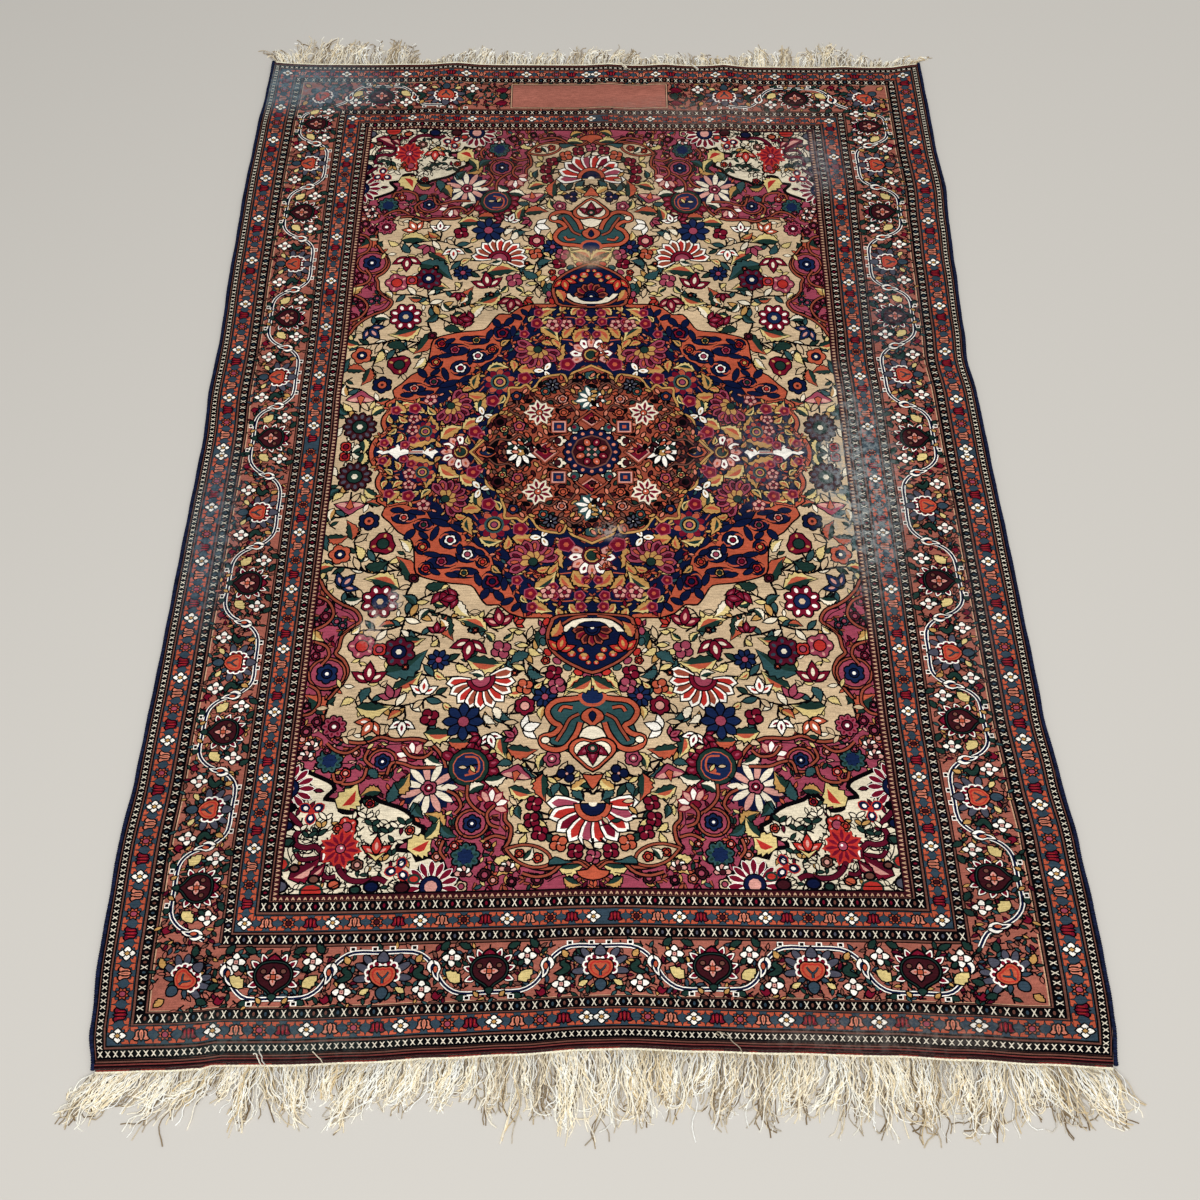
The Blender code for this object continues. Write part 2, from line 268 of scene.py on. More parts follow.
class Pen:
    """Draws in its own millimetres, through a rule that places them in the drawing."""

    def __init__(self, place):
        self.place = place

    def at(self, x, y, turn=0.0, wide=1.0, high=None):
        """A pen with its own origin, turn in degrees, and scale."""
        high = wide if high is None else high
        cos, sin = math.cos(math.radians(turn)), math.sin(math.radians(turn))
        outer = self.place

        def place(a, b):
            a, b = a * wide, b * high
            return outer(x + cos * a - sin * b, y + sin * a + cos * b)

        return Pen(place)

    def fill(self, points, yarn, line=1.5, edge="ink"):
        """A filled outline over its dark line."""
        if line:
            add_shape([self.place(*point) for point in grow(points, line * OUTLINE)], edge)
        add_shape([self.place(*point) for point in points], yarn)

    def blob(self, points, yarn, line=1.5, edge="ink", steps=2):
        """A filled outline with its corners softened."""
        self.fill(smooth(points, True, steps), yarn, line, edge)

    def oval(self, x, y, radius_x, radius_y, yarn, line=1.3, count=10, edge="ink"):
        """A filled oval."""
        self.fill([(x + a, y + b) for a, b in lobed(radius_x, radius_y, count=count)], yarn, line, edge)

    def stroke(self, points, width, yarn, end_width=None, steps=3):
        """A line along a soft path."""
        path = smooth(points, False, steps) if steps > 1 and len(points) > 2 else list(points)
        end_width = width if end_width is None else end_width
        left, right = [], []
        for index, here in enumerate(path):
            before, after = path[max(index - 1, 0)], path[min(index + 1, len(path) - 1)]
            along = Vector((after[0] - before[0], after[1] - before[1])).normalized()
            half = 0.5 * (width + (end_width - width) * index / (len(path) - 1))
            left.append(self.place(here[0] - along.y * half, here[1] + along.x * half))
            right.append(self.place(here[0] + along.y * half, here[1] - along.x * half))
        add_shape(left + right[::-1], yarn)
        return path



# ---------------------------------------------------------------- bands round the field
# Depth from the edge on the long sides, and the same line's depth on the ends
END_DEPTH = [
    (0, 0), (6, 3), (9, 11.5), (19, 22.5), (24, 28), (52, 50), (58, 53), (68, 64), (78, 69),
    (158, 143), (164, 149), (174, 160.5), (178, 165), (204, 187), (210, 193), (220, 204.5),
    (226, 207), (233, 212), (234, 216),
]
FIELD_DEPTH = 235.0
SIDE_SQUASH = 0.80      # motifs on the long sides are this much shorter along the band


def end_depth(depth):
    """Depth on an end of a line that has this depth on the long sides."""
    return float(np.interp(depth, *zip(*END_DEPTH)))


def ring_line(depth):
    """The closed line at a depth from the edge, divided into short steps."""
    x, y = EDGE_X - depth, EDGE_Y - end_depth(depth)
    return divided([(-x, -y), (x, -y), (x, y), (-x, y)])


def band_pen(side, along):
    """A pen whose x runs along a band, and whose y is the depth from the edge."""
    if side == "near":
        return Pen(lambda a, b: (along + a, end_depth(b) - EDGE_Y))
    if side == "far":
        return Pen(lambda a, b: (along + a, EDGE_Y - end_depth(b)))
    if side == "left":
        return Pen(lambda a, b: (b - EDGE_X, along + a * SIDE_SQUASH))
    return Pen(lambda a, b: (EDGE_X - b, along + a * SIDE_SQUASH))


# Plain stripes and thin lines of the bands: depth where each starts, yarn
STRIPES = [
    (0, "navy"), (6, "black"), (7.4, "brown"), (8.6, "black"), (19.5, "brown"), (21.4, "black"),
    (23.4, "slate"), (52.4, "black"), (54.2, "brown"), (57, "black"), (69.6, "black"),
    (71.4, "brown"), (73.6, "black"), (75.4, "cream"), (77, "salmon"), (159, "black"),
    (160.6, "brown"), (162.8, "black"), (175, "brown"), (176.8, "black"), (178.6, "slate"),
    (203.6, "black"), (205.4, "brown"), (208, "black"), (221.4, "brown"), (223.2, "black"),
    (225, "maroon"), (233.4, "ink"), (235, "beige"),
]
# At the ends the outermost lines differ: depth they reach in to, yarn
END_STRIPES = [
    (10.2, "black"), (8.6, "brown"), (6.8, "black"), (5.0, "edge"), (3.4, "black"), (1.3, "maroon"),
]
# Depth of the middle, height, pitch, dots between the beads
BEAD_STRIPES = [
    (14.0, 9.6, 10.2, None),
    (63.5, 11.0, 16.0, ["brown", "slate", "brown"]),
    (169.0, 10.6, 16.0, ["brown", "grey", "brown"]),
    (214.6, 11.0, 16.0, ["brown", "crimson", "brown"]),
]
# First and last depth, kinds in turn, steps on half an end and half a side, first place, size
GUARD_BANDS = [
    (24.0, 52.0, "WCOT", 20, 36, 10.0, 0.94),
    (179.2, 203.2, "WCDT", 16, 30, 0.0, 0.84),
]


def outside(points, depth):
    """Which points lie outside the line at a depth."""
    x, y = np.abs(points[:, 0]), np.abs(points[:, 1])
    return (x > EDGE_X - depth) | (y > EDGE_Y - end_depth(depth))


def stripe_yarns(points):
    """The ground yarn at each point, from the stripe it lies in."""
    yarns = np.full(len(points), YARN_ORDER.index(STRIPES[0][1]))
    for depth, yarn in STRIPES[1:]:
        yarns[~outside(points, depth)] = YARN_ORDER.index(yarn)
    from_end = EDGE_Y - np.abs(points[:, 1])
    at_end = np.abs(points[:, 0]) < EDGE_X - 8.6
    for depth, yarn in END_STRIPES:
        yarns[at_end & (from_end < depth)] = YARN_ORDER.index(yarn)
    return yarns


def spots(side, depth, pitch):
    """Evenly spaced places along a band at a depth, as far as its corners."""
    reach_x, reach_y = EDGE_X - depth, EDGE_Y - end_depth(depth)
    length = reach_x if side in ("near", "far") else reach_y
    pitch = pitch if side in ("near", "far") else pitch * SIDE_SQUASH
    count = max(1, round(2.0 * length / pitch))
    return [-length + 2.0 * length * step / count for step in range(count + 1)]


def bead_stripe(depth, height, pitch, between):
    """White crossed beads on black, with a coloured dot between."""
    for side in ("near", "far", "left", "right"):
        places = spots(side, depth, pitch)
        last = len(places) - 1
        for index, along in enumerate(places):
            if index in (0, last) and side in ("left", "right"):
                continue
            pen = band_pen(side, along).at(0.0, depth)
            arm, half = 3.6, 0.5 * height - (1.5 if between is None else 1.1)
            pen.fill([
                (-arm, -half), (1.4 - arm, -half), (0.0, -1.4), (arm - 1.4, -half), (arm, -half), (0.7, 0.0),
                (arm, half), (arm - 1.4, half), (0.0, 1.4), (1.4 - arm, half), (-arm, half), (-0.7, 0.0),
            ], "bead", 0)
            if between and index < last:
                step = 0.5 * pitch
                pen.oval(step, 0.0, 1.9, 0.24 * height, between[index % len(between)], 0, 6)


def triangle_stripe():
    """Small white teeth on a brown ground, next to the field."""
    for side in ("near", "far", "left", "right"):
        for along in spots(side, 229, 8.4)[:-1]:
            pen = band_pen(side, along)
            pen.fill([(-2.6, 226.4), (2.6, 226.4), (0.9, 231.6), (-0.9, 231.6)], "cream", 0)
            pen.fill([(-1.1, 226.0), (1.1, 226.0), (0.0, 228.6)], "ink", 0)


def guard_flower(pen, kind, size):
    """One small flower of a guard band; y runs towards the field."""
    pen = pen.at(0.0, 0.0, 0.0, size)
    if kind in "TC":
        body, vein = ("peach", "brown") if kind == "T" else ("crimson", "red")
        side = [(3.0, 7.5), (7.4, 5.0), (7.6, -1.0), (10.6, -6.0), (5.4, -7.6), (2.6, -3.0)]
        for way in (-1.0, 1.0):
            pen.blob([(way * x, y) for x, y in side], body, 1.4)
        pen.blob([(0.0, 9.0), (2.6, 5.0), (2.2, -3.0), (0.0, -8.4), (-2.2, -3.0), (-2.6, 5.0)], body, 1.2)
        pen.stroke([(-5.2, 5.0), (-5.0, -3.6)], 1.2, vein)
        pen.stroke([(5.2, 5.0), (5.0, -3.6)], 1.2, vein)
        pen.stroke([(0.0, 5.4), (0.0, -4.6)], 1.0, "ink" if kind == "T" else vein)
    elif kind == "W":
        for turn in (0, 90, 180, 270):
            petal = pen.at(0.0, 0.0, turn)
            petal.blob([(2.4, 3.2), (4.6, 6.2), (0.0, 11.6), (-4.6, 6.2), (-2.4, 3.2)], "white", 1.4)
        pen.fill([(5.4, 0), (0, 5.4), (-5.4, 0), (0, -5.4)], "ink", 0)
        pen.fill([(3.4, 0), (0, 3.4), (-3.4, 0), (0, -3.4)], "gold", 0)
    else:
        pen.fill(lobed(9.6, 9.0, 8, 0.34, 16, 0.39), "orange", 1.2)
        pen.fill(lobed(4.0, 4.4, count=8), "rose" if kind == "O" else "maroon", 1.3)


def guard_band(first, last, kinds, end_steps, side_steps, start, size):
    """A row of small flowers in a ring, with leaf corners between; mirrored about the middles."""
    middle = 0.5 * (first + last)
    for side in ("near", "far", "left", "right"):
        ends = side in ("near", "far")
        steps = end_steps if ends else side_steps
        corner = (EDGE_X - middle) if ends else (EDGE_Y - end_depth(middle))
        begin = start * (1.0 if ends else SIDE_SQUASH)
        pitch = (corner - begin) / steps
        for way in (-1.0, 1.0):
            for step in range(steps + 1):
                along = way * (begin + pitch * step)
                kind = kinds[(step if ends else steps - step) % len(kinds)]
                if start == 0.0 and step == 0 and way > 0.0:
                    continue
                gap = 0.5 * pitch / (1.0 if ends else SIDE_SQUASH)
                if step < steps:
                    between = band_pen(side, along + way * 0.5 * pitch)
                    leaf_corners(between, first + 1.0, last - 1.0, gap)
                if step < steps or ends:
                    guard_flower(band_pen(side, along).at(0.0, middle), kind, size)


def leaf_corners(pen, low, high, gap):
    """Serrated orange leaves along both lines of a guard band."""
    for base, way in ((low, 1.0), (high, -1.0)):
        for turn in (-1.0, 1.0):
            leaf = [
                (turn * 0.4, 0.0), (turn * 0.62 * gap, 0.0), (turn * 0.70 * gap, 2.6),
                (turn * 0.38 * gap, 4.0), (turn * 0.44 * gap, 7.6), (turn * 0.12 * gap, 5.4),
            ]
            pen.fill([(x, base + way * y) for x, y in leaf], "orange", 0.5, "ink")


# ---------------------------------------------------------------- main border
def dice_flower(pen, size=1.0):
    """Four square white petals with dark corners and a pink heart."""
    pen = pen.at(0.0, 0.0, 0.0, size)
    for turn in (45, 135, 225, 315):
        pen.at(0.0, 0.0, turn).oval(0.0, 7.4, 2.5, 2.6, "ink", 0, 6)
    for turn in (0, 90, 180, 270):
        petal = pen.at(0.0, 0.0, turn)
        petal.blob([(3.4, 3.0), (4.4, 7.0), (3.0, 10.2), (0.0, 12.6), (-3.0, 10.2), (-4.4, 7.0),
                    (-3.4, 3.0)], "white", 1.4)
    pen.fill([(4.2, 4.2), (-4.2, 4.2), (-4.2, -4.2), (4.2, -4.2)], "ink", 0)
    pen.fill([(2.5, 2.5), (-2.5, 2.5), (-2.5, -2.5), (2.5, -2.5)], "pink", 0)
    pen.fill([(0.9, 0.9), (-0.9, 0.9), (-0.9, -0.9), (0.9, -0.9)], "crimson", 0)


def serrated_leaf(pen, length, width, yarn, other=None, edge="ink", line=1.2):
    """A leaf that points along +y, with teeth on one side."""
    pen.fill([
        (0.0, 0.0), (0.30 * width, 0.16 * length), (0.52 * width, 0.30 * length),
        (0.40 * width, 0.42 * length), (0.50 * width, 0.58 * length), (0.28 * width, 0.70 * length),
        (0.30 * width, 0.84 * length), (0.0, length), (-0.30 * width, 0.72 * length),
        (-0.42 * width, 0.45 * length), (-0.30 * width, 0.18 * length),
    ], yarn, line, edge)
    if other:
        pen.fill([
            (0.0, 0.06 * length), (0.0, 0.92 * length), (-0.22 * width, 0.70 * length),
            (-0.30 * width, 0.45 * length), (-0.20 * width, 0.20 * length),
        ], other, 0)


def comma_leaf(pen, size, yarn):
    """A curled leaf with a hooked tip."""
    pen.blob([
        (size * x, size * y) for x, y in [
            (-0.9, -0.55), (-0.3, -0.75), (0.5, -0.5), (0.95, 0.0), (0.75, 0.55), (0.2, 0.9), (0.35, 1.15),
            (-0.15, 1.0), (-0.25, 0.55), (0.15, 0.2), (-0.2, -0.15),
        ]
    ], yarn, 1.4)


def border_rosette(pen):
    """The dark pointed rosette of the main border; its point looks to the outer edge."""
    for x, y, turn in [(-27, 4, 70), (27, 4, -70), (-24, 17, 50), (24, 17, -50), (-13, 24, 24), (13, 24, -24),
                       (-25, -10, 110), (25, -10, -110)]:
        petal = pen.at(x, y, turn)
        petal.blob([(0, -7), (4.6, -1), (3.0, 5), (0, 9), (-3.0, 5), (-4.6, -1)], "white", 1.0, "ink")
        petal.blob([(0, -6), (3.2, -1), (1.8, 4), (0, 6), (-1.8, 4), (-3.2, -1)], "crimson", 0)
    pen.blob([(-8, 17), (0, 19), (8, 17), (9, 23), (0, 31), (-9, 23)], "crimson", 1.8)
    pen.blob([(-3, 22), (0, 26), (3, 22), (0, 20)], "rose", 0)
    body = mirrored([(0, -22), (5, -17), (11, -13), (18, -8), (22, 0), (21, 9), (15, 16), (7, 18.5), (0, 19)])
    pen.fill(grow(smooth(body, True, 2), 3.4), "green", 1.6)
    pen.blob(body, "maroon", 1.4)
    for x in (-13.5, 13.5):
        pen.oval(x, 8.0, 3.4, 3.0, "brown", 1.0, 8)
    for turn in (0, 90, 180, 270):
        petal = pen.at(0.0, 0.0, turn)
        petal.blob([(2.0, 2.4), (3.8, 6.0), (0.0, 12.4), (-3.8, 6.0), (-2.0, 2.4)], "pink", 1.3)
        petal.oval(0.0, 6.0, 1.3, 2.3, "orange", 0, 6)
    pen.fill([(2.8, 2.8), (-2.8, 2.8), (-2.8, -2.8), (2.8, -2.8)], "orange", 1.0)
    pen.blob([(0, -33), (5, -27), (2.6, -24), (-2.6, -24), (-5, -27)], "green", 1.2)


def border_palmette(pen):
    """The orange palmette of the main border; its bulb looks to the outer edge."""
    for way in (-1.0, 1.0):
        for x, y, turn, long in [(19, 10, -62, 20), (20, 0, -96, 19), (16, 20, -40, 15)]:
            petal = pen.at(way * x, y, way * turn)
            petal.blob([(0, 0), (4.4, 0.3 * long), (3.4, 0.8 * long), (0, long), (-3.4, 0.8 * long),
                        (-4.4, 0.3 * long)],
                       "grey", 1.2)
        pen.at(way * 13, -9, way * -125).blob([(0, -2), (3.2, 3), (0, 12), (-3.2, 3)], "slate", 1.2)
    for x, y in [(-15, 16), (-8, 20), (0, 22), (8, 20), (15, 16), (-19, 8), (19, 8), (-18, 0), (18, 0)]:
        pen.oval(x, y, 3.6, 3.8, "crimson", 1.5, 8, "white")
    pen.blob([(-7, 24), (0, 22), (7, 24), (6, 31), (0, 37), (-6, 31)], "grey", 1.4)
    body = mirrored([(0, -13), (6, -10), (13, -5), (17, 3), (16, 11), (10, 15), (4, 14), (0, 15)])
    pen.blob(body, "orange", 1.5)
    pen.blob([(x * 0.86, y * 0.86 + 0.6) for x, y in body], "red", 0)
    pen.blob([(x * 0.72, y * 0.70 + 0.6) for x, y in body], "orange", 0)
    for way in (-1.0, 1.0):
        pen.stroke([(0, -8), (0, -2), (way * 5, 3), (way * 8, 8)], 4.4, "ink", 3.0)
        pen.stroke([(0, -8), (0, -2), (way * 5, 3), (way * 8, 8)], 2.6, "slate", 1.6)
    pen.blob([(0, -30), (5.6, -26), (7.4, -19), (3.0, -14), (-3.0, -14), (-7.4, -19),
              (-5.6, -26)], "slate", 1.4)


def banded_vine(pen, path, steps=4):
    """The navy vine with white lines on both sides."""
    pen.stroke(path, 8.0, "ink", None, steps)
    pen.stroke(path, 6.4, "white", None, steps)
    pen.stroke(path, 3.4, "navy", None, steps)


def split_leaf(pen):
    """The white-edged double leaf where the vine crosses the band."""
    for shape in ([(-4, -15), (3, -9), (5, 0), (2, 9), (6, 15), (-2, 12), (-6, 3), (-3, -5)],
                  [(7, -3), (12, 3), (11, 10), (6, 15), (4, 8), (8, 4)]):
        pen.blob(shape, "white", 1.2)
        pen.blob([(0.62 * x + 0.6, 0.70 * y) for x, y in shape], "navy", 0)
    pen.oval(1.0, 2.0, 2.6, 4.6, "orange", 1.0, 8, "ink")


def border_vine(side, stations, first, last):
    """The vine between the large flowers. stations are (place, kind)."""
    line = []
    for (place, kind), (after, _) in zip(stations, stations[1:]):
        here, there = (88.0, 150.0) if kind == "R" else (150.0, 88.0)
        middle = 0.5 * (place + after)
        step = 0.5 * (after - place)
        line += [(place, here), (place + 0.55 * step, here + (1 if kind == "R" else -1)),
                 (middle - 0.16 * step, here + 0.20 * (there - here)), (middle, 119.0),
                 (middle + 0.16 * step, there - 0.20 * (there - here)), (after - 0.55 * step, there)]
    line.append((stations[-1][0], 88.0 if stations[-1][1] == "R" else 150.0))
    line = [point for point in line if first <= point[0] <= last]
    squash = 1.0 if side in ("near", "far") else SIDE_SQUASH
    banded_vine(band_pen(side, 0.0), [(place / squash, depth) for place, depth in line], 3)


def border_unit(side, place, kind):
    """One large flower of the main border, and its small companions."""
    pen = band_pen(side, place)
    if kind == "R":
        border_rosette(pen.at(0.0, 118.0))
        for way in (-1.0, 1.0):
            dice_flower(pen.at(way * 52, 139))
            serrated_leaf(pen.at(way * 40, 104, way * -52), 24, 17, "yellow")
            serrated_leaf(pen.at(way * 26, 152, way * -66), 17, 9, "green")
            serrated_leaf(pen.at(way * 66, 151, way * 40), 15, 10, "green")
            serrated_leaf(pen.at(way * 40, 126, way * -40), 10, 7, "green")
            pen.blob([(way * 70, 80), (way * 77, 84), (way * 73, 91), (way * 69, 86),
                      (way * 64, 88)], "crimson", 1.2)
            serrated_leaf(pen.at(way * 44, 80, way * 70), 13, 8, "green")
            serrated_leaf(pen.at(way * 15, 82, way * -40), 9, 6, "gold")
            bead_pair(pen, way * 30, 81)
    else:
        border_palmette(pen.at(0.0, 114.0))
        for way in (-1.0, 1.0):
            dice_flower(pen.at(way * 54, 95))
            comma_leaf(pen.at(way * 52, 117, 0.0, -way, 1.0), 11, "green")
            serrated_leaf(pen.at(way * 30, 92, way * 60), 14, 8, "yellow")
            serrated_leaf(pen.at(way * 46, 134, way * -30), 12, 9, "gold")
            bead_pair(pen, way * 12, 155)
            bead_pair(pen, way * 42, 155)


def bead_pair(pen, x, y):
    """A small dark square in a white frame."""
    pen.fill([(x - 4.4, y - 3.2), (x + 4.4, y - 3.2), (x + 4.4, y + 3.2), (x - 4.4, y + 3.2)], "white", 0)
    pen.fill([(x - 2.6, y - 2.2), (x + 2.6, y - 2.2), (x + 2.6, y + 2.2), (x - 2.6, y + 2.2)], "ink", 0)


NEAR_UNITS = [(230, "R"), (375, "P"), (518, "R"), (668, "P"), (820, "R"), (955, "P"), (1100, "R")]
FAR_UNITS_LEFT = [(235, "R"), (365, "P")]
FAR_UNITS_RIGHT = [(930, "P"), (1075, "R")]
LEFT_UNITS = [
    (237, "R"), (351, "P"), (471, "R"), (585, "P"), (724, "R"), (856, "P"), (1004, "R"), (1134, "P"),
    (1267, "R"), (1396, "P"), (1526, "R"), (1656, "P"), (1766, "R"),
]
RIGHT_UNITS = [
    (246, "R"), (367, "P"), (487, "R"), (601, "P"), (728, "R"), (870, "P"), (1007, "R"), (1143, "P"),
    (1276, "R"), (1406, "P"), (1533, "R"), (1659, "P"), (1767, "R"),
]
CORNER = 117.0      # depth of the corner palmettes' middles


def main_border():
    """Vine, rosettes and palmettes round the rug, and the bare cartouche in the far end."""
    edge_x, edge_y = EDGE_X - CORNER, EDGE_Y - end_depth(CORNER)
    runs = [
        ("near", [(-edge_x, "P")] + [(along_x(x), k) for x, k in NEAR_UNITS] + [(edge_x, "P")]),
        ("left", [(-edge_y, "P")] + [(along_y(y), k) for y, k in LEFT_UNITS] + [(edge_y, "P")]),
        ("right", [(-edge_y, "P")] + [(along_y(y), k) for y, k in RIGHT_UNITS] + [(edge_y, "P")]),
        ("far", [(-edge_x, "P")] + [(along_x(x), k) for x, k in FAR_UNITS_LEFT]),
        ("far", [(along_x(x), k) for x, k in FAR_UNITS_RIGHT] + [(edge_x, "P")]),
    ]
    for side, edge in (("near", edge_x), ("far", edge_x), ("left", edge_y), ("right", edge_y)):
        squash = 1.0 if side in ("near", "far") else SIDE_SQUASH
        places = scattered(-edge / squash, 83, edge / squash, 154, 15.0, lambda x, y: True, len(side))
        sprigs(band_pen(side, 0.0), places, 8.8,
               ["green", "slate", "green", "wine", "gold", "teal", "brown", "salmon"], "ink", 12)
    for side, stations in runs:
        limit = (edge_x if side in ("near", "far") else edge_y) - 34.0
        first, last = -limit, limit
        border_vine(side, stations, first, last)
        for (place, kind), (after, _) in zip(stations, stations[1:]):
            pen = band_pen(side, 0.5 * (place + after))
            split_leaf(pen.at(0.0, 121.0, 0.0, 1.0 if kind == "R" else -1.0, 1.0))
        for place, kind in stations:
            if abs(place) < limit:
                border_unit(side, place, kind)
    for way_x in (-1.0, 1.0):
        for way_y in (-1.0, 1.0):
            corner_unit(way_x, way_y, edge_x, edge_y)
    cartouche()


def corner_unit(way_x, way_y, edge_x, edge_y):
    """A palmette set across a corner of the main border."""
    pen = Pen(lambda a, b: (way_x * (edge_x - a), way_y * (edge_y - b * 0.9)))
    border_palmette(pen.at(0.0, 0.0, -45.0, 0.92))
    for x, y, turn in [(-28, 18, 20), (-24, -26, 130), (20, -28, -110), (34, -14, -70), (12, 34, 0)]:
        serrated_leaf(pen.at(x, y, turn), 15, 10, "gold" if x < 0 else "green")


def cartouche():
    """The bare salmon panel in the middle of the far border, in a pale frame."""
    left, right = along_x(495), along_x(815)
    half = 0.5 * (right - left)
    pen = band_pen("far", 0.5 * (left + right))
    pen.fill([(-half, 79), (half, 79), (half, 157), (-half, 157)], "ink", 0)
    pen.fill([(1.6 - half, 80.5), (half - 1.6, 80.5), (half - 1.6, 155.5), (1.6 - half, 155.5)], "cream", 0)
    pen.fill([(3.6 - half, 82.6), (half - 3.6, 82.6), (half - 3.6, 153.4), (3.6 - half, 153.4)], "ink", 0)
    pen.fill([(5.0 - half, 84), (half - 5.0, 84), (half - 5.0, 152), (5.0 - half, 152)], "cartouche", 0)
    for way in (-1.0, 1.0):
        for depth in (98, 138):
            serrated_leaf(pen.at(way * (half + 6), depth, way * -84), 24, 16, "crimson", "wine")
        pen.at(way * (half + 14), 118).fill(lobed(8, 10, 5, 0.3), "green", 1.4)


# ---------------------------------------------------------------- flowers and leaves of the field
def petal_points(length, width, foot=0.0, blunt=0.5):
    """A petal along +y; blunt is where it is widest."""
    half = 0.5 * width
    return [
        (0.3 * half, foot), (half * 0.86, foot + blunt * 0.55 * (length - foot)),
        (half, foot + blunt * (length - foot)), (0.62 * half, foot + 0.86 * (length - foot)), (0.0, length),
        (-0.62 * half, foot + 0.86 * (length - foot)), (-half, foot + blunt * (length - foot)),
        (-half * 0.86, foot + blunt * 0.55 * (length - foot)), (-0.3 * half, foot),
    ]


def round_flower(pen, size, lobes, yarn, heart, eye=None, mark=None):
    """A lobed flower with a dark-lined heart; mark is a stroke of colour on each lobe."""
    turn = math.pi / lobes
    pen.fill(lobed(size, size, lobes, 0.24, lobes * 4, turn), yarn, 1.5)
    for index in range(lobes if mark else 0):
        petal = pen.at(0.0, 0.0, 360.0 * index / lobes + math.degrees(turn) - 90.0)
        petal.oval(0.0, 0.72 * size, 0.11 * size, 0.17 * size, mark, 0, 6)
    pen.fill(lobed(0.44 * size, count=9), heart, 1.3)
    if eye:
        pen.fill(lobed(0.19 * size, count=6), eye, 0)


def petal_flower(pen, size, petals, yarn, heart, mark=None):
    """Separate rounded petals round a heart."""
    for index in range(petals):
        petal = pen.at(0.0, 0.0, 360.0 * index / petals)
        petal.fill(petal_points(size, 1.75 * math.pi * size / petals * 0.62, 0.2 * size, 0.66), yarn, 1.4)
        if mark:
            petal.oval(0.0, 0.66 * size, 0.10 * size, 0.16 * size, mark, 0, 6)
    pen.fill(lobed(0.27 * size, count=8), heart, 1.1)


def daisy(pen, size, petals, yarn, heart, ground="navy"):
    """Long pointed petals with a dark ground between them."""
    pen.fill(lobed(0.86 * size, count=petals * 2), ground, 0)
    for index in range(petals):
        petal = pen.at(0.0, 0.0, 360.0 * index / petals)
        petal.fill(petal_points(size * (1.0 - 0.14 * (index % 2)), 0.29 * size * 8 / petals, 0.18 * size,
                                0.6),
                   yarn, 1.8, ground)
    pen.fill(lobed(0.24 * size, count=8), heart, 1.1)
    pen.oval(0.05 * size, 0.05 * size, 0.08 * size, 0.08 * size, "white", 0, 5)


def fan(pen, size, petals, yarns, heart="navy", ring_yarn="orange", sweep=180.0, line="white"):
    """A half rosette whose petals open towards -y."""
    for index in range(petals):
        turn = 180.0 + sweep * ((index + 0.5) / petals - 0.5)
        petal = pen.at(0.0, 0.0, turn)
        wide = 0.92 * math.radians(sweep / petals) * size
        petal.fill(petal_points(size, wide, 0.30 * size, 0.74), line, 1.4)
        petal.fill(petal_points(size * 0.91, wide * 0.62, 0.34 * size, 0.74), yarns[index % len(yarns)], 0)
    half = [(0.40 * size * math.cos(a), 0.40 * size * math.sin(a)) for a in np.linspace(-math.pi, 0.0, 10)]
    pen.fill(half, ring_yarn, 1.3)
    pen.fill([(0.66 * x, 0.66 * y) for x, y in half], heart, 1.2)
    pen.fill([(0.24 * x, 0.24 * y + 0.04 * size) for x, y in half], "ivory", 0)


def scallop_fan(pen, size, yarn="crimson", lobe="rose"):
    """A ring of small scallops round a navy and green shell."""
    for index in range(11):
        turn = -100.0 + 20.0 * index
        petal = pen.at(0.0, 0.0, turn)
        petal.oval(0.0, 0.80 * size, 0.16 * size, 0.22 * size, yarn, 1.3, 8)
        petal.oval(0.0, 0.84 * size, 0.05 * size, 0.10 * size, lobe, 0, 5)
    pen.fill(lobed(0.66 * size, count=14), "green", 1.3)
    pen.fill(lobed(0.50 * size, count=12), "blue", 1.0, "orange")
    pen.stroke([(-0.34 * size, 0.2 * size), (0.0, 0.42 * size), (0.34 * size, 0.1 * size),
                (0.1 * size, -0.3 * size)],
               3.0, "orange")
    pen.oval(0.16 * size, 0.0, 0.10 * size, 0.16 * size, "orange", 0, 6)


def trefoil(pen, size, yarn, heart="pink"):
    """Three round petals."""
    lobes = 3 if yarn in ("navy", "blue") else 4
    for index in range(lobes):
        pen.at(0.0, 0.0, 360.0 * index / lobes + 30.0).oval(0.0, 0.54 * size, 0.46 * size, 0.46 * size, yarn,
                                                            1.5, 8)
    pen.oval(0.0, 0.0, 0.16 * size, 0.16 * size, heart, 0, 5)


def tulip(pen, size, yarn, inside, edge="ink"):
    """Three pointed petals that open towards +y, with a pale mark in each."""
    for turn, long, wide in ((58, 0.92, 0.60), (-58, 0.92, 0.60), (0, 1.0, 0.72)):
        petal = pen.at(0.0, -0.35 * size, turn)
        reach_y, half = 1.30 * size * long, 0.5 * size * wide
        right = [(0.30, 0.06), (0.78, 0.26), (1.0, 0.42), (0.86, 0.50), (0.94, 0.60), (0.60, 0.70),
                 (0.56, 0.80)]
        outline = [(a * half, b * reach_y) for a, b in right] + [(0.0, 1.04 * reach_y)]
        outline += [(-a * half, b * reach_y) for a, b in reversed(right)]
        petal.fill(outline, yarn, 1.4, edge)
        petal.fill(petal_points(0.94 * size * long, 0.36 * size * wide, 0.34 * size, 0.5), inside, 0)


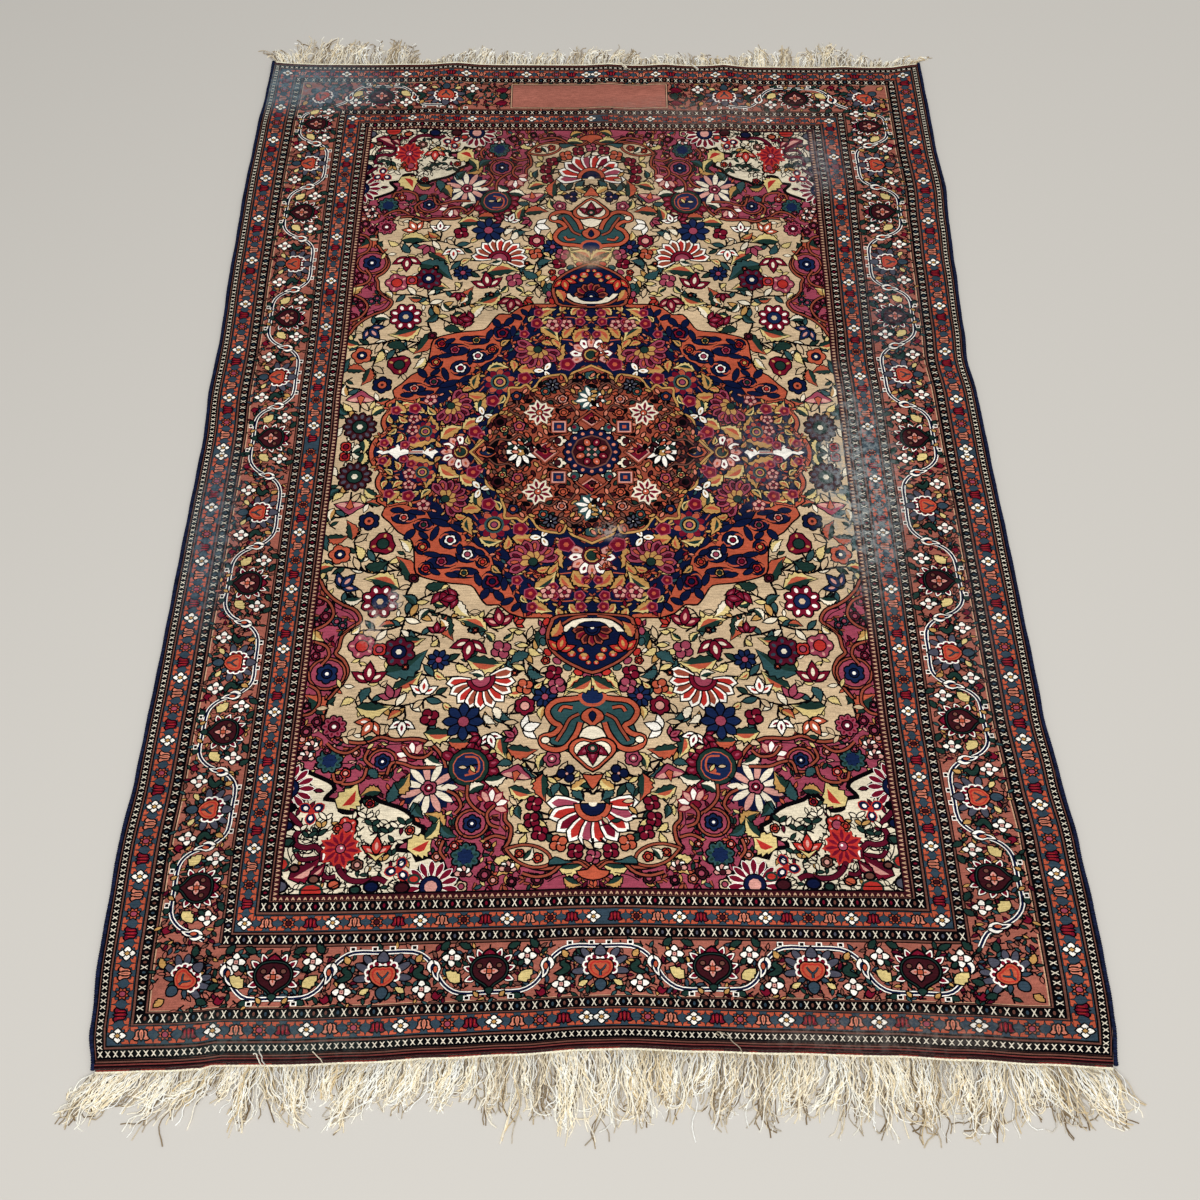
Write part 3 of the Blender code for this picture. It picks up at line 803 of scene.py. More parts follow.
def lotus(pen, size, outer="pink", inner="orange"):
    """A low open flower, wider than it is tall."""
    pen.blob([(-size, 0.2 * size), (0, 0.42 * size), (size, 0.2 * size), (0.5 * size, -0.2 * size),
              (0, -0.6 * size), (-0.5 * size, -0.2 * size)], "rose", 1.4)
    pen.blob([(-0.9 * size, 0.22 * size), (-0.4 * size, 0.36 * size), (0, 0.1 * size),
              (0.4 * size, 0.36 * size), (0.9 * size, 0.22 * size), (0, -0.1 * size)], outer, 0)
    pen.fill([(0, 0.62 * size), (0.24 * size, 0.0), (0, -0.16 * size), (-0.24 * size, 0.0)], inner, 1.1)


def pair_leaf(pen, x0, y0, x1, y1, wide=0.42, dark="green", light="gold", core=None):
    """A curved, toothed leaf from a stem end to a tip: dark on one side, light on the other."""
    long = math.dist((x0, y0), (x1, y1))
    turn = math.degrees(math.atan2(y1 - y0, x1 - x0)) - 90.0
    way = -1.0 if int(x0 * 3 + y1 * 5) % 2 else 1.0
    leaf = pen.at(x0, y0, turn, way * long, long)

    def side(rows):
        return [(across * wide + 0.36 * (t - t * t), t) for across, t in rows]

    light_side = side([
        (0.0, -0.04), (0.20, 0.05), (0.48, 0.16), (0.38, 0.23), (0.68, 0.34), (0.52, 0.42), (0.70, 0.54),
        (0.48, 0.62), (0.50, 0.75), (0.24, 0.86), (-0.04, 1.14),
    ])
    dark_side = side([(-0.26, 0.84), (-0.52, 0.70), (-0.44, 0.60), (-0.66, 0.44), (-0.50, 0.32),
                      (-0.50, 0.16)])
    outline = light_side + dark_side
    add_shape([leaf.place(*point) for point in grow(outline, 1.2 * OUTLINE / long)], "ink")
    leaf.fill(outline, light, 0)
    leaf.fill(side([(0.0, -0.04), (0.04, 0.3), (0.04, 0.6), (-0.04, 1.06)]) + dark_side, dark, 0)
    if core:
        leaf.fill(side([(0.04, 0.10), (0.30, 0.34), (0.32, 0.54), (0.04, 0.90)]), core, 0)


# A small leaf along +y, one unit long
LENS = [(0.0, 0.0), (0.20, 0.22), (0.28, 0.50), (0.22, 0.78), (0.06, 1.05), (-0.10, 0.76), (-0.14, 0.42)]


def sprigs(pen, places, size, yarns, stem="ink", seed=5):
    """Small curled stems, each with two leaves, that fill the ground between larger motifs."""
    chance = random.Random(seed)
    for x, y in places:
        twig = pen.at(x, y, chance.uniform(0.0, 360.0), chance.choice((-1.0, 1.0)) * size, size)
        if stem == "ink":
            twig.stroke([(-0.7, -0.6), (-0.1, 0.0), (0.1, 0.5), (0.5, 0.9)], 2.6 / size, "ink", None, 2)
        else:
            twig.stroke([(-0.9, -0.5), (-0.1, -0.1), (0.2, 0.5), (0.9, 0.9)], 5.2 / size, "ink", None, 2)
            twig.stroke([(-0.9, -0.5), (-0.1, -0.1), (0.2, 0.5), (0.9, 0.9)], 2.6 / size, stem, None, 2)
        for start, turn in (((-0.1, 0.0), 62.0), ((0.1, 0.5), -70.0)):
            petal = twig.at(start[0], start[1], turn + chance.uniform(-20, 20), 1.0 / size)
            long = size * chance.uniform(0.8, 1.25)
            petal.fill([(long * a, long * b) for a, b in LENS], chance.choice(yarns), 0.95)


def scattered(x0, y0, x1, y1, pitch, keep, seed=3):
    """Uneven places about a pitch apart over a rectangle, where keep allows."""
    chance = random.Random(seed)
    places = []
    row = 0
    y = y0
    while y < y1:
        x = x0 + (0.5 * pitch if row % 2 else 0.0)
        while x < x1:
            place = (x + chance.uniform(-0.28, 0.28) * pitch, y + chance.uniform(-0.28, 0.28) * pitch)
            if keep(*place):
                places.append(place)
            x += pitch
        y += 0.86 * pitch
        row += 1
    return places


def within(outline, x, y):
    """Is a place inside an outline?"""
    inside = False
    for (ax, ay), (bx, by) in zip(outline, outline[1:] + outline[:1]):
        if (ay > y) != (by > y) and x < (bx - ax) * (y - ay) / (by - ay) + ax:
            inside = not inside
    return inside


def lined(pen, path, width, yarn, line=1.3, steps=3, edge="ink"):
    """A coloured band along a path, between two dark lines."""
    pen.stroke(path, width + 2.0 * line * OUTLINE, edge, None, steps)
    pen.stroke(path, width, yarn, None, steps)


def leaf_spray(pen, path, count, size, yarns=("green", "green", "ivory")):
    """Small leaves in pairs along a thin stem."""
    line = pen.stroke(path, 1.8, "ink")
    for index in range(count):
        place = line[int((index + 1) * (len(line) - 1) / count)]
        for way in (-1.0, 1.0):
            turn = CHANCE.uniform(34, 70) * way + CHANCE.uniform(-10, 10)
            leaf = pen.at(place[0], place[1], turn)
            leaf.fill(petal_points(size * CHANCE.uniform(0.8, 1.15), size * 0.42, 0.5),
                      yarns[index % len(yarns)], 1.1)


# ---------------------------------------------------------------- grounds of the field
# Near left quarter, in millimetres from the near left corner; the other quarters mirror it
MIDDLE = (660.0, 976.0)
WIDER = 1.0185      # the field's millimetres across and along, in the drawing's
LONGER = 1.005
ROSE_LINE = [
    (206, 748), (224, 738), (236, 714), (252, 696), (270, 684), (290, 674), (299, 656), (286, 645),
    (273, 630), (270, 610), (266, 599), (279, 588), (287, 570), (282, 552), (270, 534), (260, 516),
    (257, 498), (264, 482), (278, 464), (298, 454), (322, 452), (346, 461), (368, 456), (402, 457),
    (427, 444), (441, 424), (447, 408), (470, 396), (503, 390), (521, 374), (534, 352), (534, 330),
    (543, 318), (541, 298), (535, 284), (552, 270), (576, 258), (602, 256), (640, 266), (660, 252),
]
IVORY_LINE = [
    (200, 424), (226, 413), (252, 400), (276, 389), (283, 381), (275, 372), (272, 362), (291, 359),
    (295, 345), (310, 340), (325, 344), (329, 359), (341, 365), (353, 357), (380, 348), (397, 337),
    (402, 325), (415, 318), (411, 309), (391, 303), (381, 294), (383, 284), (404, 282), (411, 268),
    (428, 273), (445, 268), (451, 254), (467, 243), (474, 226), (472, 200),
]
MEDALLION_LINE = [
    (284, 976), (287, 960), (295, 945), (306, 936), (301, 920), (303, 905), (311, 892), (306, 878),
    (322, 866), (317, 851), (331, 837), (346, 819), (366, 806), (373, 790), (376, 766), (380, 742),
    (404, 731), (436, 724), (468, 720), (480, 704), (494, 685), (513, 685), (530, 670), (552, 662),
    (592, 660), (600, 640), (660, 640),
]
INNER_LINE = [
    (456, 976), (474, 957), (486, 942), (497, 940), (487, 931), (485, 914), (496, 902), (514, 898),
    (511, 884), (518, 862), (518, 846), (536, 846), (546, 839), (556, 850), (566, 838), (576, 824),
    (600, 818), (612, 819), (618, 833), (627, 815), (640, 808), (660, 798),
]
ARABESQUE_LINE = [
    (322, 866), (338, 874), (362, 866), (386, 860), (396, 842), (424, 838), (446, 824), (456, 804),
    (478, 792), (497, 772), (503, 750), (520, 734), (530, 712), (540, 690), (550, 670),
]


def quarter_pens():
    """A pen for each quarter of the field, and which way it is mirrored."""
    for way_x in (-1.0, 1.0):
        for way_y in (-1.0, 1.0):
            yield way_x, way_y, Pen(
                lambda x, y, wx=way_x, wy=way_y: (wx * (MIDDLE[0] - x) * WIDER, wy * (MIDDLE[1] - y) * LONGER)
            )


def whole_ground(line, yarn, line_width=0.0, edge="ink", by=0.0):
    """A shape closed over all four quarters."""
    half = smooth(line, False, 3)
    closed = half + [(2 * MIDDLE[0] - x, y) for x, y in reversed(half[:-1])]
    closed += [(x, 2 * MIDDLE[1] - y) for x, y in reversed(closed[1:-1])]
    if by:
        closed = grow(closed, by)
    pen = Pen(lambda x, y: ((x - MIDDLE[0]) * WIDER, (y - MIDDLE[1]) * LONGER))
    pen.fill(closed, yarn, line_width, edge)


def rose_grounds(pen):
    """The rose ground at a corner of the field, with its banded outline, and the ivory corner piece."""
    line = smooth(ROSE_LINE, False, 3)
    pen.fill(line + [(660, 200), (200, 200)], "rose", 0)
    ground = line + [(660, 225), (212, 225)]
    bare = IVORY_LINE + [(200, 200)]
    places = scattered(
        216, 228, 660, 744, 21.0, lambda x, y: within(ground, x, y) and not within(bare, x, y)
    )
    sprigs(pen, places[::2], 9.5, ["rust", "orange", "green", "gold", "maroon", "teal"], "rust", 5)
    sprigs(pen, places[1::2], 8.5, ["crimson", "orange", "green", "yellow", "pink", "wine"], "ink", 6)
    lined(pen, ROSE_LINE, 3.6, "rust", 1.5)
    inner = [(x - 7, y - 7) for x, y in ROSE_LINE[3:-6]]
    pen.stroke(inner, 1.6, "ink")
    ivory = smooth(IVORY_LINE, False, 2)
    pen.fill(ivory + [(200, 200)], "bone", 4.2, "ink")
    corner = ivory + [(212, 212)]
    places = scattered(
        222, 224, 470, 420, 18.0, lambda x, y: within(corner, x, y) and within(corner, x + 10, y + 10)
    )
    sprigs(pen, places, 9.5, ["bone", "bone", "green", "bone", "gold", "bone", "wine"], "ink", 8)


def rose_flowers(pen):
    """Flowers, leaves and roundels on the rose ground."""
    for x, y, r in ((352, 422, 17), (487, 325, 19), (256, 565, 24)):
        pen.at(x, y).fill(lobed(r + 4.5, r + 3, count=16), "rust", 1.6)
        pen.at(x, y).fill(lobed(r, r - 1.5, count=14), "rose", 1.3)
        round_flower(pen.at(x, y), 0.66 * r, 6, "blue", "navy", "white")
    for x, y, r in ((275, 424, 19), (480, 276, 20)):
        round_flower(pen.at(x, y, 30), r, 9, "teal", "blue", None, "green")
        pen.at(x, y).fill(lobed(0.62 * r, 0.62 * r, 7, 0.3), "blue", 0)
    x, y, r, turn, petal_turn = 422, 380, 41, 10, 32.7
    for index in range(11):
        petal = pen.at(x, y, turn + petal_turn * index + 16.0)
        petal.fill(petal_points(r * 0.98, 0.34 * r, 0.2 * r, 0.55), "navy", 0.6)
    for index in range(11):
        petal = pen.at(x, y, turn + petal_turn * index)
        petal.fill(petal_points(r * 1.02, 0.25 * r, 0.2 * r, 0.6), "ivory" if index % 3 else "pink", 0.9,
                   "navy")
    round_flower(pen.at(x, y), 0.27 * r, 5, "rose", "crimson", "white")
    scallop_fan(pen.at(478, 412, -40), 44)
    for x, y, r, turn in ((395, 436, 24, 40), (512, 360, 25, -40)):
        for index in range(5):
            petal = pen.at(x, y - 8, turn - 70 + 35 * index)
            petal.fill(petal_points(r, 8, 3, 0.7), "white" if index % 2 else "pink", 1.4, "crimson")
        pen.at(x, y - 8).fill(lobed(8, 6, count=8), "crimson", 1.2)
    pair_leaf(pen, 296, 352, 318, 382, 0.75, "yellow", "yellow", "red")
    pair_leaf(pen, 400, 288, 430, 304, 0.85, "yellow", "yellow", "red")
    for leaf in [
        (352, 376, 328, 372, "green", "gold"), (370, 372, 392, 398, "green", "gold"),
        (448, 322, 424, 340, "green", "gold"), (424, 304, 440, 328, "green", "yellow"),
        (366, 360, 372, 384, "teal", "teal"), (258, 500, 232, 528, "green", "orange"),
        (236, 440, 256, 452, "green", "teal"), (444, 320, 462, 306, "green", "teal"),
        (346, 398, 330, 408, "teal", "teal"), (414, 430, 436, 416, "green", "ivory"),
        (500, 384, 478, 372, "green", "ivory"), (522, 268, 544, 274, "yellow", "yellow"),
        (556, 262, 528, 250, "gold", "yellow"), (620, 240, 640, 230, "green", "gold"),
        (612, 256, 644, 258, "green", "yellow"), (402, 356, 414, 336, "green", "teal"),
        (226, 640, 242, 622, "gold", "yellow"),
    ]:
        pair_leaf(pen, *leaf[:4], 0.5, leaf[4], leaf[5])
    for x, y, r, yarn in ((300, 404, 7, "red"), (236, 436, 7, "crimson"), (232, 458, 8, "orange"),
                          (232, 416, 6, "beige"), (312, 436, 6, "rust"), (270, 440, 5, "rose"),
                          (236, 470, 8, "maroon"), (250, 486, 7, "wine"), (226, 486, 6, "crimson"),
                          (232, 512, 5, "maroon"), (240, 610, 8, "wine"), (236, 595, 6, "crimson"),
                          (232, 650, 6, "wine"), (244, 664, 8, "wine"), (232, 690, 7, "crimson"),
                          (250, 684, 5, "maroon"), (262, 655, 7, "slate"), (272, 648, 6, "slate"),
                          (510, 292, 5, "red"), (464, 292, 6, "red"), (508, 248, 9, "maroon"),
                          (546, 238, 6, "maroon"), (582, 240, 8, "maroon"), (444, 296, 6, "orange"),
                          (440, 276, 7, "rust"), (596, 246, 5, "crimson"), (520, 240, 7, "rust"),
                          (476, 232, 8, "beige")):
        round_flower(pen.at(x, y), r, 5, yarn, "pink" if yarn in ("red", "rust", "orange") else "rose")
    for x, y in ((240, 428), (478, 250), (540, 256), (246, 444)):
        for index in range(5):
            petal = pen.at(x, y, -90 + 44 * index)
            petal.fill(petal_points(12, 6.5, 2, 0.7), "white" if index % 2 else "pink", 1.3)
        pen.at(x, y).fill(lobed(4, count=6), "maroon", 1.0)
    for path in [
        [(300, 396), (296, 388), (312, 388), (326, 396), (330, 412)],
        [(282, 404), (286, 392), (296, 390)],
        [(448, 300), (444, 284), (452, 272)],
        [(360, 402), (366, 420), (384, 418), (400, 412), (430, 412)],
        [(500, 340), (486, 352), (478, 366), (478, 384)],
        [(506, 300), (520, 306), (536, 302)],
        [(330, 440), (326, 426), (338, 414)],
        [(228, 700), (246, 690), (256, 668), (246, 650), (228, 640)],
        [(230, 620), (250, 612), (256, 596), (246, 580)],
        [(232, 546), (246, 536), (250, 516), (240, 500), (226, 496)],
        [(268, 452), (282, 440), (300, 436), (316, 446)],
        [(380, 444), (392, 430), (412, 428), (424, 438)], [(518, 352), (508, 340), (512, 324), (526, 318)],
        [(560, 250), (580, 244), (600, 248), (616, 262)], [(448, 376), (462, 368), (470, 352), (462, 340)],
    ]:
        lined(pen, path, 3.4, "rust", 1.3)
    for path in [[(372, 425), (366, 400), (378, 388)], [(288, 420), (306, 420), (322, 428)],
                 [(440, 382), (462, 396)], [(400, 344), (410, 360)], [(470, 300), (478, 312)],
                 [(232, 560), (226, 590), (232, 620), (228, 660)], [(506, 268), (520, 262), (540, 262)],
                 [(596, 236), (610, 244), (630, 248)]]:
        pen.stroke(path, 1.6, "ink")


def ivory_corner(pen):
    """The flowers and dark arabesques of an ivory corner piece."""
    for x, y, turn in ((220, 381, -90), (434, 232, 0)):
        for index in range(9):
            petal = pen.at(x, y, turn - 96 + 24 * index)
            petal.fill(petal_points(38, 8.6, 16, 0.6), "crimson", 0.6, "white")
        pen.at(x, y).fill(lobed(15, count=12), "navy", 1.2)
        pen.at(x, y).fill(lobed(9, count=9), "pink", 0)
    for x, y, turn in ((258, 346, 20), (388, 258, 60)):
        for index in range(3):
            petal = pen.at(x, y, turn + 120 * index + 40)
            petal.fill(petal_points(19, 13, 2, 0.6), "navy", 1.0, "red")
            petal.oval(0, 10, 3.0, 3.6, "white", 0, 7)
        pen.at(x, y).fill(lobed(5, 5, 3, 0.3), "red", 0)
    lined(pen,
          [(222, 348), (236, 334), (246, 322), (240, 308), (244, 296), (258, 292), (270, 294), (282, 282)],
          6.5, "wine", 1.0)
    lined(pen, [(292, 270), (302, 268), (308, 256), (322, 244), (342, 242), (360, 246), (372, 240)], 6.5,
          "wine", 1.0)
    lined(pen, [(244, 284), (252, 275), (268, 276), (280, 278)], 5.0, "wine", 1.0)
    lined(pen, [(284, 268), (282, 256), (290, 248), (302, 250)], 5.0, "wine", 1.0)
    pen.fill([(278, 272), (294, 272), (294, 286), (278, 286)], "wine", 1.0)
    pen.fill([(281.5, 274), (291, 274), (291, 283.5), (281.5, 283.5)], "white", 0)
    pen.fill([(284.5, 277), (288.5, 277), (288.5, 280.5), (284.5, 280.5)], "ink", 0)
    pair_leaf(pen, 240, 248, 274, 270, 0.5, "wine", "crimson", "pink")
    pair_leaf(pen, 268, 252, 284, 266, 0.5, "wine", "crimson", "pink")
    leaf_spray(pen, [(272, 302), (272, 316), (280, 334)], 3, 13, ("green", "gold", "ivory"))
    leaf_spray(pen, [(272, 306), (258, 308), (246, 318)], 2, 12, ("green", "ivory"))
    leaf_spray(pen, [(358, 304), (350, 320), (336, 336), (338, 352)], 4, 13, ("green", "green", "ivory"))
    leaf_spray(pen, [(358, 306), (376, 318), (392, 326)], 3, 13, ("green", "ivory", "green"))
    leaf_spray(pen, [(352, 262), (364, 272), (376, 280)], 2, 12, ("gold", "green"))
    leaf_spray(pen, [(332, 262), (322, 270), (318, 282)], 2, 11, ("green", "teal"))
    round_flower(pen.at(310, 322), 15, 5, "red", "rose", None, "pink")
    round_flower(pen.at(298, 320), 6, 5, "orange", "red")
    daisy(pen.at(305, 290), 26, 11, "crimson", "rose", "red")
    tulip(pen.at(355, 288), 19, "red", "pink")
    pen.at(355, 280).fill([(-12, 4), (0, -8), (12, 4), (0, -2)], "yellow", 1.2)
    round_flower(pen.at(330, 266), 8, 6, "brown", "pink")
    round_flower(pen.at(340, 357), 6, 5, "red", "wine")
    round_flower(pen.at(400, 316), 6, 5, "orange", "red")
    for x, y, r, yarn in ((222, 268, 12, "red"), (270, 228, 14, "red"), (226, 236, 10, "grey"),
                          (300, 238, 7, "orange"), (226, 325, 8, "navy"), (232, 300, 7, "green"),
                          (352, 234, 9, "navy"), (330, 230, 6, "green"), (394, 232, 9, "maroon"),
                          (244, 262, 5, "brown"), (272, 246, 6, "brown"), (410, 244, 6, "red"),
                          (228, 352, 6, "ink")):
        pen.at(x, y).fill(lobed(r, 0.72 * r, count=9), yarn, 2.0, "green" if yarn == "red" else "ink")
    for path in [[(226, 312), (240, 306), (232, 290), (240, 270)],
                 [(232, 246), (246, 232), (290, 232), (312, 242)], [(316, 232), (336, 236), (352, 246)],
                 [(376, 240), (392, 246), (402, 238)], [(372, 256), (390, 268), (404, 276)],
                 [(268, 290), (262, 284), (250, 284)], [(306, 262), (300, 256), (296, 262)]]:
        pen.stroke(path, 1.8, "ink")


BEIGE_SIZES = {"round": 0.84, "tulip": 0.86, "tre": 0.92}       # shares of the sizes below
# Kind, x, y, size, turn, yarns
BEIGE_FLOWERS = [
    ("fan", 665, 352, 66, 0, ("rose", "red", "crimson", "red")), ("fan", 490, 556, 52, 12, ("red", "rust")),
    ("corn", 467, 485, 30, 0, ()), ("corn", 424, 588, 17, 20, ()), ("corn", 588, 525, 18, 10, ()),
    ("tre", 575, 354, 13, 0, ("crimson",)), ("tre", 572, 329, 13, 20, ("crimson",)),
    ("tre", 584, 309, 13, -90, ("crimson",)), ("tre", 635, 281, 13, 10, ("crimson",)),
    ("tre", 611, 293, 14, 0, ("orange",)), ("tre", 622, 400, 15, 180, ("navy",)),
    ("tre", 601, 565, 14, 180, ("crimson",)), ("tre", 606, 543, 15, 30, ("rose",)),
    ("tre", 519, 605, 17, 90, ("rose",)), ("tre", 557, 542, 14, 90, ("orange",)),
    ("tre", 416, 492, 15, 180, ("crimson",)), ("tre", 660, 272, 12, 180, ("rose",)),
    ("round", 600, 424, 15, 0, (5, "rose", "rose", "ivory")),
    ("round", 558, 510, 18, 0, (6, "crimson", "pink", None)),
    ("round", 362, 602, 30, 8, (7, "wine", "navy", "ivory", "slate")),
    ("round", 326, 690, 35, 0, (8, "crimson", "blue", "beige", "white")),
    ("round", 255, 776, 21, 0, (5, "orange", "navy", "ivory")),
    ("round", 296, 839, 20, 0, (6, "navy", "orange", "maroon")),
    ("round", 264, 926, 34, 0, (11, "maroon", "green", "ivory", "grey")),
    ("round", 322, 796, 25, 20, (3, "crimson", "green", None, "gold")),
    ("round", 244, 966, 11, 0, (4, "red", "crimson", None)),
    ("round", 305, 612, 25, 0, (5, "rose", "red", None, "pink")),
    ("round", 332, 606, 13, 0, (4, "red", "rose", None)),
    ("round", 588, 586, 7, 0, (5, "red", "orange", None)),
    ("round", 541, 565, 5, 0, (4, "red", "orange", None)),
    ("round", 276, 478, 21, 0, (9, "rose", "wine", "white", "crimson")),
    ("round", 478, 639, 5, 0, (4, "red", "rust", None)),
    ("round", 374, 576, 5, 0, (4, "rust", "orange", None)),
    ("round", 376, 732, 9, 0, (4, "maroon", "wine", None)),
    ("tulip", 320, 560, 28, 0, ("crimson", "ivory")), ("tulip", 515, 656, 26, 10, ("crimson", "pink")),
    ("tulip", 470, 612, 30, 170, ("crimson", "ivory")), ("tulip", 355, 530, 19, 20, ("rose", "rose")),
    ("tulip", 404, 538, 22, -4, ("white", "red")), ("tulip", 376, 480, 20, 180, ("white", "crimson")),
    ("tulip", 328, 480, 23, 150, ("orange", "white")), ("tulip", 508, 458, 19, 200, ("white", "crimson")),
    ("tulip", 488, 458, 14, 120, ("crimson", "rose")), ("tulip", 563, 474, 22, -70, ("white", "white")),
    ("tulip", 540, 462, 15, 60, ("rose", "crimson")), ("tulip", 268, 722, 25, -40, ("blue", "pink")),
    ("tulip", 418, 640, 15, 0, ("crimson", "rose")), ("tulip", 425, 700, 24, -160, ("crimson", "rose")),
    ("tulip", 440, 696, 20, 100, ("crimson", "rose")), ("tulip", 584, 648, 11, -30, ("rose", "rose")),
    ("tulip", 544, 652, 12, -60, ("red", "rust")), ("lotus", 262, 866, 24, 0, ()),
    ("lotus", 548, 402, 22, 170, ()),
]
# Stem end x, y, tip x, y, dark side, light side
BEIGE_LEAVES = [
    (524, 462, 530, 428, "green", "gold"), (536, 440, 572, 436, "green", "orange"),
    (590, 432, 580, 410, "green", "yellow"), (548, 412, 572, 396, "teal", "teal"),
    (540, 418, 522, 416, "teal", "teal"), (504, 390, 532, 396, "green", "ivory"),
    (540, 378, 572, 368, "green", "gold"), (586, 398, 588, 362, "green", "orange"),
    (610, 384, 602, 368, "teal", "teal"), (634, 380, 644, 360, "teal", "teal"),
    (630, 376, 650, 392, "gold", "yellow"), (552, 350, 554, 334, "green", "teal"),
    (554, 322, 566, 312, "yellow", "yellow"), (556, 294, 564, 306, "yellow", "yellow"),
    (412, 466, 452, 466, "green", "gold"), (448, 452, 478, 452, "green", "orange"),
    (308, 508, 352, 508, "green", "yellow"), (360, 540, 396, 562, "green", "gold"),
    (346, 566, 400, 596, "green", "teal"), (366, 622, 396, 622, "green", "gold"),
    (300, 522, 284, 514, "yellow", "yellow"), (322, 540, 312, 520, "teal", "teal"),
    (372, 502, 356, 492, "gold", "orange"), (412, 612, 420, 622, "yellow", "yellow"),
    (452, 578, 470, 570, "yellow", "yellow"), (420, 566, 434, 556, "yellow", "gold"),
    (436, 514, 448, 506, "yellow", "gold"), (432, 662, 440, 626, "green", "orange"),
    (350, 650, 332, 648, "green", "orange"), (470, 586, 520, 580, "green", "gold"),
    (524, 578, 534, 548, "teal", "gold"), (494, 560, 476, 566, "green", "ivory"),
    (504, 556, 520, 534, "green", "yellow"), (494, 640, 456, 658, "green", "gold"),
    (506, 620, 496, 634, "green", "yellow"), (524, 622, 536, 632, "green", "yellow"),
    (540, 636, 552, 636, "yellow", "yellow"), (562, 606, 578, 596, "yellow", "yellow"),
    (560, 598, 536, 584, "teal", "teal"), (586, 640, 576, 614, "teal", "green"),
    (562, 568, 582, 558, "teal", "teal"), (626, 546, 636, 570, "yellow", "ivory"),
    (572, 540, 582, 548, "yellow", "gold"), (530, 532, 558, 540, "yellow", "gold"),
    (586, 508, 582, 490, "gold", "yellow"), (520, 498, 534, 488, "teal", "teal"),
    (498, 494, 512, 482, "ivory", "ivory"), (520, 490, 510, 508, "ivory", "ivory"),
    (382, 686, 366, 700, "green", "teal"), (352, 716, 306, 732, "green", "gold"),
    (374, 728, 352, 768, "green", "orange"), (366, 782, 352, 802, "ivory", "yellow"),
    (300, 752, 330, 760, "green", "green"), (246, 754, 218, 742, "green", "gold"),
    (232, 806, 262, 808, "green", "orange"), (272, 806, 264, 836, "green", "orange"),
    (236, 862, 232, 842, "gold", "ivory"), (226, 812, 232, 786, "teal", "green"),
    (284, 900, 306, 886, "green", "yellow"), (240, 900, 226, 886, "green", "teal"),
    (248, 892, 234, 880, "yellow", "yellow"), (310, 870, 292, 876, "green", "orange"),
    (290, 768, 282, 790, "yellow", "yellow"), (256, 976, 276, 964, "green", "ivory"),
    (270, 950, 276, 976, "green", "yellow"), (228, 944, 234, 928, "ivory", "ivory"),
    (398, 716, 424, 722, "green", "green"), (446, 690, 464, 664, "ivory", "yellow"),
    (410, 690, 430, 684, "yellow", "green"), (432, 640, 424, 658, "gold", "ivory"),
    (272, 692, 296, 694, "green", "ivory"), (288, 634, 298, 644, "yellow", "ivory"),
    (656, 554, 620, 532, "green", "gold"), (652, 396, 664, 384, "orange", "orange"),
    (402, 676, 390, 660, "green", "ivory"),
]
BEIGE_STEMS = [
    [(374, 728), (362, 748), (320, 742), (296, 746), (284, 770), (276, 800), (282, 820)],
    [(320, 742), (312, 764), (322, 784)], [(296, 746), (264, 752), (238, 752), (224, 742)],
    [(374, 724), (366, 700), (378, 684), (368, 660), (362, 630), (362, 616)],
    [(368, 660), (402, 672), (440, 662), (484, 656), (502, 676)],
    [(368, 650), (340, 640), (312, 640), (292, 636)], [(372, 640), (396, 632), (420, 628)],
    [(378, 684), (398, 700), (424, 706)], [(484, 656), (502, 644), (514, 636)],
    [(484, 656), (466, 640), (478, 632)],
    [(592, 640), (574, 626), (564, 616), (554, 600), (556, 570), (566, 552)],
    [(564, 616), (556, 628), (546, 640)], [(554, 600), (530, 586), (514, 560)], [(556, 570), (540, 566)],
    [(560, 582), (580, 566), (600, 560)], [(566, 552), (586, 546), (604, 548)],
    [(566, 552), (584, 538), (588, 528)], [(558, 530), (552, 544), (530, 536)],
    [(512, 498), (528, 482), (540, 468), (530, 440)], [(512, 498), (544, 498), (556, 506)],
    [(530, 440), (556, 424), (584, 416), (590, 424)],
    [(556, 424), (572, 404), (590, 394), (612, 384), (636, 380), (650, 386), (664, 368)],
    [(590, 394), (606, 396), (620, 398)], [(664, 368), (650, 372), (636, 366)],
    [(576, 344), (592, 338), (606, 336)], [(582, 330), (604, 330)], [(590, 308), (612, 312)],
    [(566, 314), (560, 300)], [(640, 290), (650, 300)], [(660, 284), (660, 300)],
    [(320, 540), (324, 524), (344, 514), (376, 512), (404, 520)], [(376, 512), (366, 496), (362, 486)],
    [(376, 512), (380, 496), (378, 488)], [(404, 520), (424, 530), (440, 524)], [(404, 520), (406, 506)],
    [(424, 560), (410, 572), (416, 590), (436, 586), (462, 580)],
    [(424, 560), (398, 564), (380, 576), (366, 586)], [(438, 558), (456, 560)],
    [(454, 452), (430, 456), (414, 470), (420, 486)], [(454, 452), (462, 462)],
    [(508, 474), (496, 482), (488, 500)], [(262, 876), (262, 896)], [(262, 850), (240, 846), (232, 862)],
    [(276, 950), (272, 976)], [(244, 980), (262, 972), (274, 960)], [(228, 900), (240, 890), (258, 896)],
    [(300, 690), (284, 700), (272, 716)], [(270, 706), (290, 690)], [(316, 770), (336, 760), (352, 748)],
]


